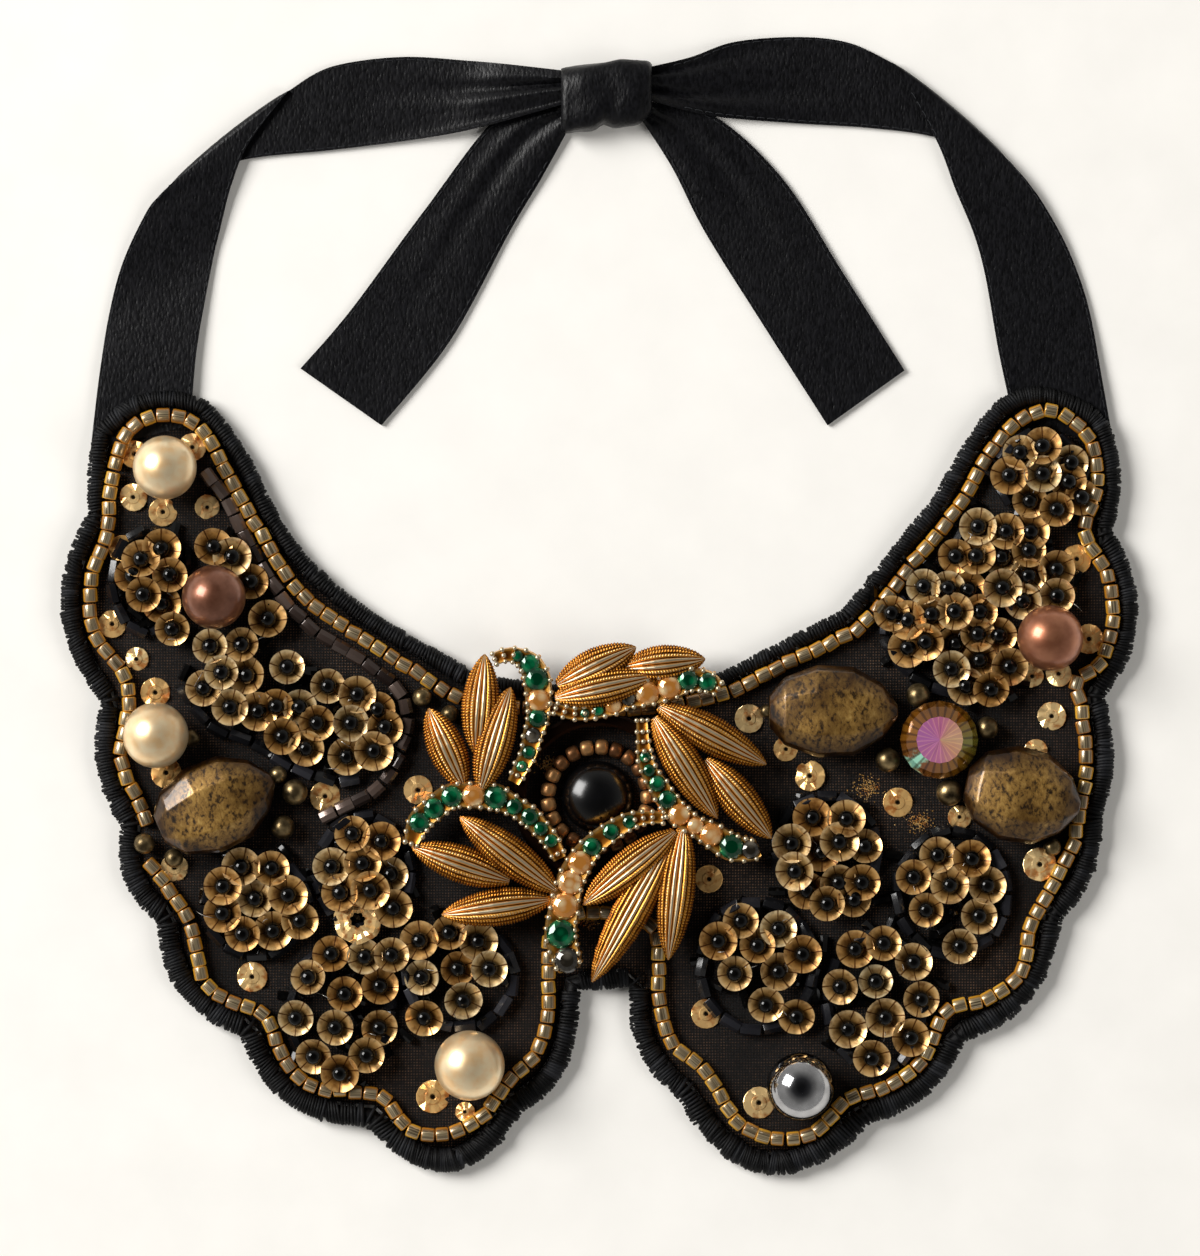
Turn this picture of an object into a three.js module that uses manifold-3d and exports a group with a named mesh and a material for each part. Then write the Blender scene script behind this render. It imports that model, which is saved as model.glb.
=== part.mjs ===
// Bib necklace: a beaded collar of scalloped fabric with a brooch, closed by a tied ribbon.
// It lies flat, seen from above: X to the right, Y up towards the knot, Z up. Lengths in mm.
import * as THREE from "three";
import { mergeVertices } from "three/addons/utils/BufferGeometryUtils.js";
import Module from "manifold-3d";

const wasm = await Module();
wasm.setup();

// Driving dimensions of the collar
const sideReach = 105; // middle line to the bead border at the widest place
const knotReach = 105; // line through the widest place up to the knot
const seatGap = 0.3; // clearance between a piece and what it is sewn to
const backingThickness = 2.4; // leather, felt and mesh together
const edgeRollWidth = 4.4; // whipped edge where it is widest
const edgeRollHeight = 4.2;
const outlineStep = 7.4; // longest straight step along a scallop

// Beads and stones
const borderBeadDiameter = 3.0;
const darkBugleDiameter = 2.3;
const blackBugleDiameter = 2.1;
const bugleLength = 5.2;
const clusterHeight = 3.2; // cup sequins with their beads, above the fabric
const clusterShoulder = 0.9; // rounding at the rim of a cluster
const pearlSides = 12;
const smallBeadSides = 10;
const crystalDiameter = 16.4;
const crystalTableDiameter = 9.6;
const crystalHeight = 8.4;
const crystalSides = 16;
const cabochonDiameter = 15.2;
const cabochonHeight = 5.2;
const seedRingDiameter = 21; // through the middles of the seed beads round the cabochon
const seedBeadDiameter = 2.9;
const nuggetLength = 27; // the largest nugget
const nuggetWidth = 20.4;
const nuggetHeight = 10;

// Brooch
const broochReach = 42; // radius of the circle that its leaves fit in
const leafWidth = 7.8;
const leafHeight = 5.4;
const leafAxisHeight = 9.6; // above the surface that the necklace lies on
const leafDrop = 1.2; // the lowest leaf below the top ones
const leafSides = 8;
const paveBottom = 6.7;
const paveTop = 10.2;
const paveShoulder = 1.4; // the slanted side of a band below its top
const prongMargin = 0.75; // metal beside each stone
const largestStoneRadius = 2.6;
const stoneSides = 8;
const frameBottom = 6.1;
const frameTop = 8.6;
const frameSides = 20;

// Ribbon
const ribbonThickness = 1.0;
const foldGap = 0.4; // between the two layers of a fold
const knotHeight = 7.6;

// Meshes
const weldDistance = 1e-4;
const rollSides = 8;
const stringSides = 6;

// Helpers for tables and closed shells
const rows = (columns, values) =>
  values.map((row) => Object.fromEntries(columns.map((name, i) => [name, row[i]])));
const place = (x, y, z = 0) => new THREE.Vector3(x * sideReach, y * knotReach, z);
const fabricTop = backingThickness + seatGap;

function shell(points, faces) {
  const geometry = new THREE.BufferGeometry();
  const flat = points.flatMap((p) => [p.x, p.y, p.z]);
  geometry.setAttribute("position", new THREE.Float32BufferAttribute(flat, 3));
  const volume = faces.reduce((sum, [a, b, c]) => {
    const cross = new THREE.Vector3().crossVectors(points[b], points[c]);
    return sum + points[a].dot(cross);
  }, 0);
  const outward = volume < 0 ? faces.map(([a, b, c]) => [a, c, b]) : faces;
  geometry.setIndex(outward.flat());
  return geometry;
}

// A skin through sections of equal point count; an open one is closed by a cap at each end
function loft(sections, closed = false) {
  const count = sections[0].length;
  const points = sections.flat();
  const faces = [];
  const last = closed ? sections.length : sections.length - 1;
  for (let i = 0; i < last; i++) {
    const here = i * count;
    const next = ((i + 1) % sections.length) * count;
    for (let j = 0; j < count; j++) {
      const k = (j + 1) % count;
      faces.push([here + j, here + k, next + k], [here + j, next + k, next + j]);
    }
  }
  if (!closed) {
    const end = (sections.length - 1) * count;
    for (let j = 1; j < count - 1; j++) {
      faces.push([0, j + 1, j], [end, end + j, end + j + 1]);
    }
  }
  return shell(points, faces);
}

function solid(geometry) {
  const bare = geometry.clone();
  for (const name of Object.keys(bare.attributes)) {
    if (name !== "position") bare.deleteAttribute(name);
  }
  const merged = mergeVertices(bare, weldDistance);
  return new wasm.Manifold(
    new wasm.Mesh({
      numProp: 3,
      vertProperties: new Float32Array(merged.attributes.position.array),
      triVerts: new Uint32Array(merged.index.array),
    }),
  );
}

function geometryOf(body) {
  const mesh = body.getMesh();
  const geometry = new THREE.BufferGeometry();
  geometry.setAttribute("position", new THREE.BufferAttribute(mesh.vertProperties, 3));
  geometry.setIndex(new THREE.BufferAttribute(mesh.triVerts, 1));
  return geometry;
}

// Unit normals in the plane, to the left of the way along, lengthened at corners as a mitre is
function mitres(points, closed) {
  const count = points.length;
  return points.map((point, i) => {
    const before = points[closed ? (i + count - 1) % count : Math.max(i - 1, 0)];
    const after = points[closed ? (i + 1) % count : Math.min(i + 1, count - 1)];
    const arriving = new THREE.Vector3().subVectors(point, before).setZ(0);
    const leaving = new THREE.Vector3().subVectors(after, point).setZ(0);
    if (arriving.lengthSq() === 0) arriving.copy(leaving);
    if (leaving.lengthSq() === 0) leaving.copy(arriving);
    arriving.normalize();
    leaving.normalize();
    const along = new THREE.Vector3().addVectors(arriving, leaving).normalize();
    const stretch = 1 / Math.max(along.dot(leaving), 0.5);
    return new THREE.Vector3(-along.y, along.x, 0).multiplyScalar(stretch);
  });
}

// A string of beads lying in the plane, as a tube with flat-bottomed sections
function string(points, diameter, height, closed) {
  const radius = diameter / 2;
  const sideways = mitres(points, closed);
  const sections = points.map((point, i) =>
    Array.from({ length: stringSides }, (_, j) => {
      const angle = ((j + 0.5) / stringSides) * 2 * Math.PI;
      return point
        .clone()
        .addScaledVector(sideways[i], radius * Math.cos(angle))
        .setZ(height + radius + radius * Math.sin(angle));
    }),
  );
  return loft(sections, closed);
}

function plate(points, depth) {
  const outline = new THREE.Shape(points.map((point) => new THREE.Vector2(point.x, point.y)));
  return new THREE.ExtrudeGeometry(outline, { depth, bevelEnabled: false });
}

// Scallops clockwise from the left tab: where each starts, its bulge over its chord, and
// the width of the whipped roll there
const scallops = rows(["x", "y", "bulge", "roll"], [
  [-1.023, 0.182, 0.03, 0.72],
  [-1.012, 0.346, 0.2, 0.72],
  [-0.786, 0.406, 0.046, 0.64],
  [-0.674, 0.236, -0.04, 0.66],
  [-0.568, 0.076, -0.03, 0.66],
  [-0.412, -0.044, 0, 0.66],
  [-0.26, -0.132, -0.06, 0.64],
  [0.234, -0.14, 0, 0.6],
  [0.486, -0.012, 0, 0.66],
  [0.554, 0.07, 0.01, 0.7],
  [0.668, 0.212, 0.01, 0.7],
  [0.76, 0.368, 0.225, 0.7],
  [0.97, 0.404, 0.12, 0.75],
  [1.024, 0.342, 0.08, 0.75],
  [1.024, 0.146, 0.175, 0.78],
  [1.008, -0.184, 0.087, 0.78],
  [1.002, -0.426, 0.112, 0.8],
  [0.922, -0.63, 0.158, 0.84],
  [0.727, -0.874, 0.128, 0.92],
  [0.542, -1.034, 0.33, 1],
  [0.156, -0.984, 0.1, 0.9],
  [0.062, -0.83, 0, 0.8],
  [0.062, -0.762, 0, 0.8],
  [-0.042, -0.77, 0.02, 0.8],
  [-0.054, -0.876, 0.125, 0.85],
  [-0.155, -1.012, 0.337, 1],
  [-0.468, -1.04, 0.184, 0.95],
  [-0.718, -0.86, 0.174, 0.9],
  [-0.884, -0.634, 0.155, 0.9],
  [-0.956, -0.442, 0.114, 0.85],
  [-0.997, -0.194, 0.175, 0.8],
]);

function scallopedEdge() {
  const points = [];
  scallops.forEach((start, i) => {
    const end = scallops[(i + 1) % scallops.length];
    const a = place(start.x, start.y);
    const b = place(end.x, end.y);
    const chord = new THREE.Vector3().subVectors(b, a);
    const outward = new THREE.Vector3(-chord.y, chord.x, 0).normalize();
    const length = chord.length();
    const sagitta = start.bulge * length;
    const steps = Math.max(1, Math.ceil(length * (1 + 2 * start.bulge ** 2) / outlineStep));
    for (let step = 0; step < steps; step++) {
      const share = step / steps;
      const point = a.clone().addScaledVector(chord, share);
      point.addScaledVector(outward, 4 * sagitta * share * (1 - share));
      point.roll = THREE.MathUtils.lerp(start.roll, end.roll, share) * edgeRollWidth;
      points.push(point);
    }
  });
  return points;
}

const outline = scallopedEdge();
const outlineMitres = mitres(outline, true);
const inwards = outlineMitres.map((way) => way.clone().negate());

function backing() {
  const clear = outline.map((point, i) =>
    point.clone().addScaledVector(inwards[i], point.roll + seatGap),
  );
  return plate(clear, backingThickness);
}

// The whipped edge: an eight-sided roll, flat where it rests
function whippedEdge() {
  const reach = 1 / Math.cos(Math.PI / rollSides);
  const sections = outline.map((point, i) =>
    Array.from({ length: rollSides }, (_, j) => {
      const angle = ((j + 0.5) / rollSides) * 2 * Math.PI;
      const across = (point.roll / 2) * (1 - reach * Math.cos(angle));
      return point
        .clone()
        .addScaledVector(inwards[i], across)
        .setZ((edgeRollHeight / 2) * (1 + reach * Math.sin(angle)));
    }),
  );
  return loft(sections, true);
}

// Routes of bead strings, a few chosen points each
const borderRoute = rows(["x", "y"], [
  [-0.906, -0.512], [-0.862, -0.57], [-0.822, -0.635], [-0.792, -0.75], [-0.745, -0.79],
  [-0.672, -0.82], [-0.63, -0.91], [-0.58, -0.96], [-0.5, -0.974], [-0.435, -0.984],
  [-0.38, -1.05], [-0.3, -1.056], [-0.235, -1.02], [-0.18, -0.95], [-0.125, -0.89],
  [-0.103, -0.81], [-0.1, -0.66], [-0.05, -0.62], [0.05, -0.62], [0.112, -0.66],
  [0.118, -0.788], [0.145, -0.875], [0.2, -0.92], [0.235, -0.97], [0.275, -1.035],
  [0.345, -1.066], [0.425, -1.056], [0.495, -0.99], [0.57, -0.965], [0.645, -0.91],
  [0.692, -0.814], [0.77, -0.79], [0.842, -0.735], [0.86, -0.645], [0.904, -0.562],
  [0.946, -0.48], [0.96, -0.412], [0.972, -0.31], [0.962, -0.2], [0.955, -0.152],
  [1.004, -0.11], [1.026, -0.02], [1.01, 0.07], [0.97, 0.15], [0.994, 0.24],
  [0.98, 0.33], [0.93, 0.378], [0.88, 0.388], [0.824, 0.358], [0.77, 0.29],
  [0.72, 0.2], [0.62, 0.075], [0.528, -0.036], [0.458, -0.076], [0.36, -0.124],
  [0.25, -0.176], [0.1, -0.205], [-0.1, -0.208], [-0.27, -0.19], [-0.37, -0.133],
  [-0.48, -0.062], [-0.6, 0.025], [-0.685, 0.155], [-0.746, 0.264], [-0.786, 0.336],
  [-0.832, 0.374], [-0.9, 0.376], [-0.952, 0.334], [-0.98, 0.225], [-0.985, 0.145],
  [-1.018, 0.05], [-1.012, -0.055], [-0.948, -0.15], [-0.948, -0.24], [-0.958, -0.31],
  [-0.918, -0.405], [-0.902, -0.44],
]);
const darkRoute = rows(["x", "y"], [
  [-0.792, 0.27], [-0.75, 0.215], [-0.71, 0.14], [-0.66, 0.05], [-0.615, -0.01],
  [-0.555, -0.062], [-0.47, -0.115], [-0.405, -0.17], [-0.384, -0.225], [-0.39, -0.27],
  [-0.41, -0.32], [-0.45, -0.37], [-0.505, -0.4], [-0.56, -0.426],
]);
const lowerRoute = rows(["x", "y"], [
  [-0.84, -0.16], [-0.808, -0.21], [-0.768, -0.248], [-0.72, -0.265], [-0.675, -0.288],
  [-0.635, -0.315], [-0.57, -0.34], [-0.515, -0.352], [-0.48, -0.345],
]);
const stringSteps = { border: 88, dark: 26, lower: 16, longCluster: 44 };

function routed(route, steps, closed = false) {
  const curve = new THREE.CatmullRomCurve3(route.map(({ x, y }) => place(x, y)), closed);
  const points = curve.getSpacedPoints(steps);
  return closed ? points.slice(0, -1) : points;
}

// Clusters of cup sequins: middle, half sizes and turn in degrees of the row round each
const clusters = rows(["x", "y", "across", "up", "turn"], [
  [-0.904, 0.046, 0.07, 0.1, 0],
  [-0.688, -0.6, 0.1, 0.1, 0],
  [-0.472, -0.534, 0.092, 0.11, 0],
  [-0.52, -0.812, 0.1, 0.13, 0],
  [-0.28, -0.74, 0.106, 0.104, 0],
  [0.88, 0.262, 0.084, 0.08, 0],
  [0.812, 0.082, 0.108, 0.076, -28],
  [0.684, -0.082, 0.124, 0.08, -32],
  [0.452, -0.49, 0.1, 0.108, 0],
  [0.704, -0.576, 0.108, 0.124, 0],
  [0.552, -0.794, 0.096, 0.132, 0],
  [0.314, -0.722, 0.114, 0.128, 0],
]);
// The long cluster beside the neck, as points round its rim
const longCluster = rows(["x", "y"], [
  [-0.692, 0.052], [-0.655, 0.005], [-0.612, -0.046], [-0.55, -0.1], [-0.47, -0.15],
  [-0.432, -0.2], [-0.43, -0.265], [-0.47, -0.31], [-0.55, -0.306], [-0.62, -0.278],
  [-0.67, -0.25], [-0.735, -0.23], [-0.785, -0.19], [-0.8, -0.13], [-0.77, -0.09],
  [-0.725, -0.066], [-0.698, -0.02], [-0.698, 0.03],
]);

function clusterRim({ x, y, across, up, turn }, smaller) {
  const halfAcross = across * sideReach - smaller;
  const halfUp = up * knotReach - smaller;
  const round = Math.PI * (halfAcross + halfUp);
  const steps = Math.ceil(round / bugleLength);
  const middle = place(x, y);
  const axis = new THREE.Vector3(0, 0, 1);
  return Array.from({ length: steps }, (_, i) => {
    const angle = (-i / steps) * 2 * Math.PI;
    const point = new THREE.Vector3(halfAcross * Math.cos(angle), halfUp * Math.sin(angle), 0);
    return point.applyAxisAngle(axis, THREE.MathUtils.degToRad(turn)).add(middle);
  });
}

function mound(rim) {
  const shape = new THREE.Shape(rim.map((point) => new THREE.Vector2(point.x, point.y)));
  const geometry = new THREE.ExtrudeGeometry(shape, {
    depth: clusterHeight - 2 * clusterShoulder,
    bevelThickness: clusterShoulder,
    bevelSize: clusterShoulder,
    bevelOffset: -clusterShoulder,
    bevelSegments: 1,
  });
  return geometry.translate(0, 0, fabricTop + clusterShoulder);
}

// Round beads: middle and diameter
const pearls = rows(["name", "x", "y", "diameter", "finish"], [
  ["cream_pearl_1", -0.868, 0.274, 13.4, "cream"],
  ["cream_pearl_2", -0.886, -0.26, 13.8, "cream"],
  ["cream_pearl_3", -0.26, -0.918, 14.7, "cream"],
  ["brown_pearl_1", -0.77, 0.016, 13.4, "brown"],
  ["brown_pearl_2", 0.898, -0.066, 13.8, "copper"],
  ["steel_pearl", 0.4, -0.96, 14.2, "steel"],
]);

function roundBead(diameter, sides) {
  const bead = new THREE.SphereGeometry(diameter / 2, sides, Math.round(sides / 2) + 1);
  return bead.rotateX(Math.PI / 2);
}

// Nuggets: middle, length and width as shares of the largest, and turn in degrees
const nuggets = rows(["x", "y", "long", "wide", "turn"], [
  [-0.766, -0.398, 0.963, 0.956, 24],
  [0.466, -0.212, 1, 0.961, 0],
  [0.844, -0.38, 0.904, 1, -12],
]);

// A bead sewn against a nugget's end, at an angle in degrees seen from the nugget's middle
function besideNugget(nugget, angle, diameter) {
  const reach = (nugget.long * nuggetLength) / 2 + seatGap + diameter / 2;
  const turn = THREE.MathUtils.degToRad(angle);
  return {
    x: nugget.x + (reach * Math.cos(turn)) / sideReach,
    y: nugget.y + (reach * Math.sin(turn)) / knotReach,
    diameter,
  };
}

const rightNugget = nuggets.at(-1);
const smallBeads = [
  ...rows(["x", "y", "diameter"], [
    [0.636, -0.18, 5],
    [0.774, -0.246, 4.8],
    [0.575, -0.31, 5.2],
  ]),
  besideNugget(rightNugget, 178, 5.6),
  ...rows(["x", "y", "diameter"], [
    [0.904, -0.484, 3.8],
    [-0.61, -0.374, 5.4],
    [-0.634, -0.444, 5],
    [-0.816, -0.266, 3.6],
    [-0.911, -0.477, 4.4],
    [-0.852, -0.506, 4],
    [-0.356, -0.184, 4],
  ]),
];

const nuggetSections = rows(["along", "width", "top", "bottom"], [
  [-0.5, 0.34, 0.66, 0.3],
  [-0.38, 0.74, 0.88, 0.14],
  [-0.12, 1, 1, 0],
  [0.16, 0.96, 1, 0],
  [0.38, 0.6, 0.84, 0.2],
  [0.5, 0.14, 0.68, 0.42],
]);

// Corners of a nugget's section: the side as a share of its half width, and the rise from
// the foot, 0, over the girdle, 0.5, to the table, 1
const nuggetCorners = rows(["side", "rise"], [
  [-0.5, 1], [-0.9, 0.75], [-1, 0.5], [-0.55, 0], [0.55, 0], [1, 0.5], [0.86, 0.8], [0.42, 1],
]);

function nugget({ long, wide }) {
  const sections = nuggetSections.map((row) =>
    nuggetCorners.map(({ side, rise }) => {
      const z = THREE.MathUtils.lerp(row.bottom, row.top, rise) * nuggetHeight;
      const y = (side * row.width * wide * nuggetWidth) / 2;
      return new THREE.Vector3(row.along * long * nuggetLength, y, z);
    }),
  );
  return loft(sections);
}

// A round cut crystal: flat foot, pavilion, girdle, crown and table
const crystalMiddle = { x: 0.677, y: -0.269 };
const crystalProfile = rows(["radius", "rise"], [
  [0, 0], [0.45, 0], [0.96, 0.5], [1, 0.6], [0.84, 0.84],
]);

function crystal() {
  const girdle = crystalDiameter / 2;
  const profile = crystalProfile.map(
    ({ radius, rise }) => new THREE.Vector2(radius * girdle, rise * crystalHeight),
  );
  profile.push(new THREE.Vector2(crystalTableDiameter / 2, crystalHeight));
  profile.push(new THREE.Vector2(0, crystalHeight));
  return new THREE.LatheGeometry(profile, crystalSides).rotateX(Math.PI / 2);
}

function cabochon() {
  const steps = 5;
  const base = cabochonDiameter / 2;
  const profile = [new THREE.Vector2(0, 0), new THREE.Vector2(base, 0)];
  for (let i = 1; i <= steps; i++) {
    const angle = (i / steps) * (Math.PI / 2);
    const radius = i === steps ? 0 : base * Math.cos(angle);
    profile.push(new THREE.Vector2(radius, cabochonHeight * Math.sin(angle)));
  }
  return new THREE.LatheGeometry(profile, 2 * smallBeadSides).rotateX(Math.PI / 2);
}

function seedRing() {
  const steps = Math.round((Math.PI * seedRingDiameter) / seedBeadDiameter);
  const points = Array.from({ length: steps }, (_, i) => {
    const angle = (i / steps) * 2 * Math.PI;
    const radius = seedRingDiameter / 2;
    return new THREE.Vector3(radius * Math.cos(angle), radius * Math.sin(angle), 0);
  });
  return string(points, seedBeadDiameter, 0, true);
}

// Brooch: places in it are shares of its reach from its middle
const broochMiddle = { x: -0.004, y: -0.384 };
const inBrooch = (x, y) =>
  place(broochMiddle.x, broochMiddle.y).add(new THREE.Vector3(x, y, 0).multiplyScalar(broochReach));
// Leaves: tip and foot of each, and its share of the drop below the top ones
const leaves = rows(["tipX", "tipY", "footX", "footY", "drop"], [
  [-0.565, 0.715, -0.605, 0.22, 0.5], [-0.435, 0.55, -0.585, 0.035, 0],
  [-0.845, 0.445, -0.67, 0.055, 0.67], [-0.69, -0.095, -0.205, -0.465, 0],
  [-0.93, -0.245, -0.44, -0.415, 0.5], [-0.78, -0.585, -0.24, -0.51, 1],
  [-0.075, -0.535, 0.385, -0.17, 0], [-0.03, -0.92, 0.36, -0.215, 0.5],
  [0.35, -0.81, 0.425, -0.14, 0.67], [0.595, -0.105, 0.28, 0.4, 0],
  [0.84, 0.165, 0.3, 0.455, 0.5], [0.865, -0.205, 0.535, 0.19, 0.75],
  [0.19, 0.75, -0.205, 0.56, 0.5], [0.535, 0.69, 0.125, 0.645, 0.75],
  [0.285, 0.605, -0.215, 0.495, 0],
]);
const leafSections = rows(["along", "width"], [
  [0, 0.06], [0.12, 0.48], [0.35, 0.94], [0.62, 0.96], [0.88, 0.54], [1, 0.2],
]);
// The ring below the leaves that carries them, as shares of the brooch's reach
const frameRing = { inner: 0.333, outer: 0.429 };
// Pave bands: the stones in their order, with their radius as a share of the largest, between
// two plain ends
const bands = [
  [[-0.515, 0.69, 0.35], [-0.4, 0.705, 0.42], [-0.34, 0.665, 0.73], [-0.305, 0.59, 0.88],
    [-0.295, 0.485, 0.85], [-0.3, 0.395, 0.65], [-0.325, 0.31, 0.54], [-0.345, 0.225, 0.46],
    [-0.38, 0.155, 0.38], [-0.42, 0.075, 0.31]],
  [[-0.92, -0.215, 0.38], [-0.89, -0.125, 0.73], [-0.818, -0.055, 0.73], [-0.73, 0.005, 0.73],
    [-0.62, 0.01, 0.81], [-0.51, 0, 0.85], [-0.418, -0.045, 0.58], [-0.34, -0.095, 0.62],
    [-0.285, -0.155, 0.5], [-0.235, -0.215, 0.5], [-0.19, -0.305, 0.35]],
  [[0.325, -0.1, 0.35], [0.155, -0.12, 0.46], [0.075, -0.16, 0.46], [-0.02, -0.235, 0.65],
    [-0.09, -0.315, 0.85], [-0.14, -0.425, 0.88], [-0.165, -0.54, 0.96], [-0.185, -0.68, 1],
    [-0.15, -0.815, 0.92], [-0.13, -0.86, 0.38]],
  [[0.22, 0.385, 0.35], [0.23, 0.203, 0.42], [0.255, 0.135, 0.42], [0.295, 0.07, 0.58],
    [0.345, -0.01, 0.65], [0.405, -0.085, 0.81], [0.485, -0.145, 0.58], [0.565, -0.185, 0.85],
    [0.665, -0.245, 0.85], [0.765, -0.26, 0.62], [0.81, -0.25, 0.35]],
  [[-0.21, 0.44, 0.35], [-0.065, 0.42, 0.35], [0, 0.435, 0.42], [0.075, 0.46, 0.58],
    [0.15, 0.493, 0.5], [0.245, 0.52, 0.85], [0.355, 0.55, 0.85], [0.45, 0.585, 0.73],
    [0.545, 0.575, 0.65], [0.605, 0.535, 0.35]],
].map((band) => rows(["x", "y", "radius"], band));

function leaf(row) {
  const tip = inBrooch(row.tipX, row.tipY);
  const foot = inBrooch(row.footX, row.footY);
  const along = new THREE.Vector3().subVectors(foot, tip);
  const sideways = new THREE.Vector3(-along.y, along.x, 0).normalize();
  const sections = leafSections.map((section) =>
    Array.from({ length: leafSides }, (_, j) => {
      const angle = ((j + 0.5) / leafSides) * 2 * Math.PI;
      const across = (leafWidth / 2) * section.width * Math.cos(angle);
      const up = (leafHeight / 2) * section.width * Math.sin(angle);
      const point = tip.clone().addScaledVector(along, section.along);
      return point.addScaledVector(sideways, across).setZ(leafAxisHeight - row.drop * leafDrop + up);
    }),
  );
  return loft(sections);
}

const bandCorners = rows(["side", "z"], [
  [-0.7, paveBottom], [0.7, paveBottom], [1, paveTop - paveShoulder],
  [0.86, paveTop], [-0.86, paveTop], [-1, paveTop - paveShoulder],
]);

function band(stones) {
  const middles = stones.map(({ x, y }) => inBrooch(x, y));
  const sideways = mitres(middles, false);
  const sections = middles.map((middle, i) => {
    const half = stones[i].radius * largestStoneRadius + prongMargin;
    return bandCorners.map(({ side, z }) =>
      middle.clone().addScaledVector(sideways[i], side * half).setZ(z),
    );
  });
  return loft(sections);
}

// A stone of eight facets with a flat table, sunk in its band
const stoneLevels = rows(["width", "height"], [[0.8, -0.5], [1, 0.05], [0.56, 0.34]]);

function stone({ x, y, radius }) {
  const middle = inBrooch(x, y);
  const girdle = radius * largestStoneRadius;
  const sections = stoneLevels.map((level) =>
    Array.from({ length: stoneSides }, (_, j) => {
      const angle = (j / stoneSides) * 2 * Math.PI;
      const reach = level.width * girdle;
      return new THREE.Vector3(
        middle.x + reach * Math.cos(angle),
        middle.y + reach * Math.sin(angle),
        paveTop + level.height * girdle,
      );
    }),
  );
  return loft(sections);
}

function brooch() {
  const parts = leaves.map(leaf);
  for (const stones of bands) {
    parts.push(band(stones));
    parts.push(...stones.slice(1, -1).map(stone));
  }
  const ringProfile = [
    [frameRing.inner, frameBottom], [frameRing.outer, frameBottom],
    [frameRing.outer, frameTop], [frameRing.inner, frameTop],
    [frameRing.inner, frameBottom],
  ].map(([share, z]) => new THREE.Vector2(share * broochReach, z));
  const frame = new THREE.LatheGeometry(ringProfile, frameSides).rotateX(Math.PI / 2);
  const middle = inBrooch(0, 0);
  parts.push(frame.translate(middle.x, middle.y, 0));
  return geometryOf(wasm.Manifold.union(parts.map(solid)));
}

// Ribbon strips: both edges, the height of the lower face in thicknesses and the side that
// shows, as the turn in degrees of the face about the strip's length
const ribbonColumns = ["ax", "ay", "bx", "by", "height", "turn"];
const ribbonLeft = rows(ribbonColumns, [
  [-1.02, 0.31, -0.82, 0.36, 1.2, 0],
  [-1.004, 0.45, -0.808, 0.51, 0.8, 0],
  [-0.984, 0.58, -0.778, 0.68, 0, 0],
  [-0.956, 0.686, -0.758, 0.766, 0.3, 0],
  [-0.91, 0.784, -0.738, 0.842, 1, 0],
  [-0.884, 0.818, -0.704, 0.924, 1.4, 0],
  [-0.858, 0.844, -0.624, 1.03, 1.4, 0],
  [-0.858, 0.844, -0.624, 1.03, 0.7, 90],
  [-0.858, 0.844, -0.624, 1.03, 0, 180],
  [-0.716, 0.892, -0.54, 1.078, 0, 180],
  [-0.534, 0.912, -0.4, 1.098, 0, 180],
  [-0.36, 0.934, -0.26, 1.09, 0.4, 180],
  [-0.24, 0.956, -0.18, 1.082, 1.8, 180],
  [-0.1, 1.0, -0.088, 1.062, 3, 180],
]);
const ribbonRight = rows(ribbonColumns, [
  [1.03, 0.31, 0.826, 0.38, 1.2, 0],
  [1.006, 0.45, 0.798, 0.51, 0.8, 0],
  [0.978, 0.6, 0.772, 0.66, 0, 0],
  [0.938, 0.712, 0.748, 0.746, 0.3, 0],
  [0.89, 0.8, 0.712, 0.832, 1, 0],
  [0.854, 0.85, 0.672, 0.934, 1.4, 0],
  [0.816, 0.892, 0.586, 1.086, 1.4, 0],
  [0.816, 0.892, 0.586, 1.086, 0.7, 90],
  [0.816, 0.892, 0.586, 1.086, 0, 180],
  [0.67, 0.938, 0.5, 1.126, 0, 180],
  [0.54, 0.956, 0.4, 1.138, 0, 180],
  [0.38, 0.966, 0.27, 1.128, 0.4, 180],
  [0.22, 0.98, 0.18, 1.096, 1.8, 180],
  [0.112, 1.014, 0.108, 1.076, 3, 180],
]);
const tailLeft = rows(ribbonColumns, [
  [-0.088, 1.006, -0.084, 0.958, 1, 0],
  [-0.2, 0.986, -0.12, 0.85, 0.4, 0],
  [-0.36, 0.78, -0.18, 0.75, 0, 0],
  [-0.5, 0.59, -0.3, 0.53, 0, 0],
  [-0.6, 0.474, -0.438, 0.36, 0, 0],
]);
const tailRight = rows(ribbonColumns, [
  [0.11, 1.006, 0.1, 0.968, 1, 0],
  [0.23, 0.976, 0.14, 0.85, 0.4, 0],
  [0.36, 0.86, 0.18, 0.8, 0, 0],
  [0.48, 0.67, 0.32, 0.57, 0, 0],
  [0.61, 0.47, 0.456, 0.36, 0, 0],
]);

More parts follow.
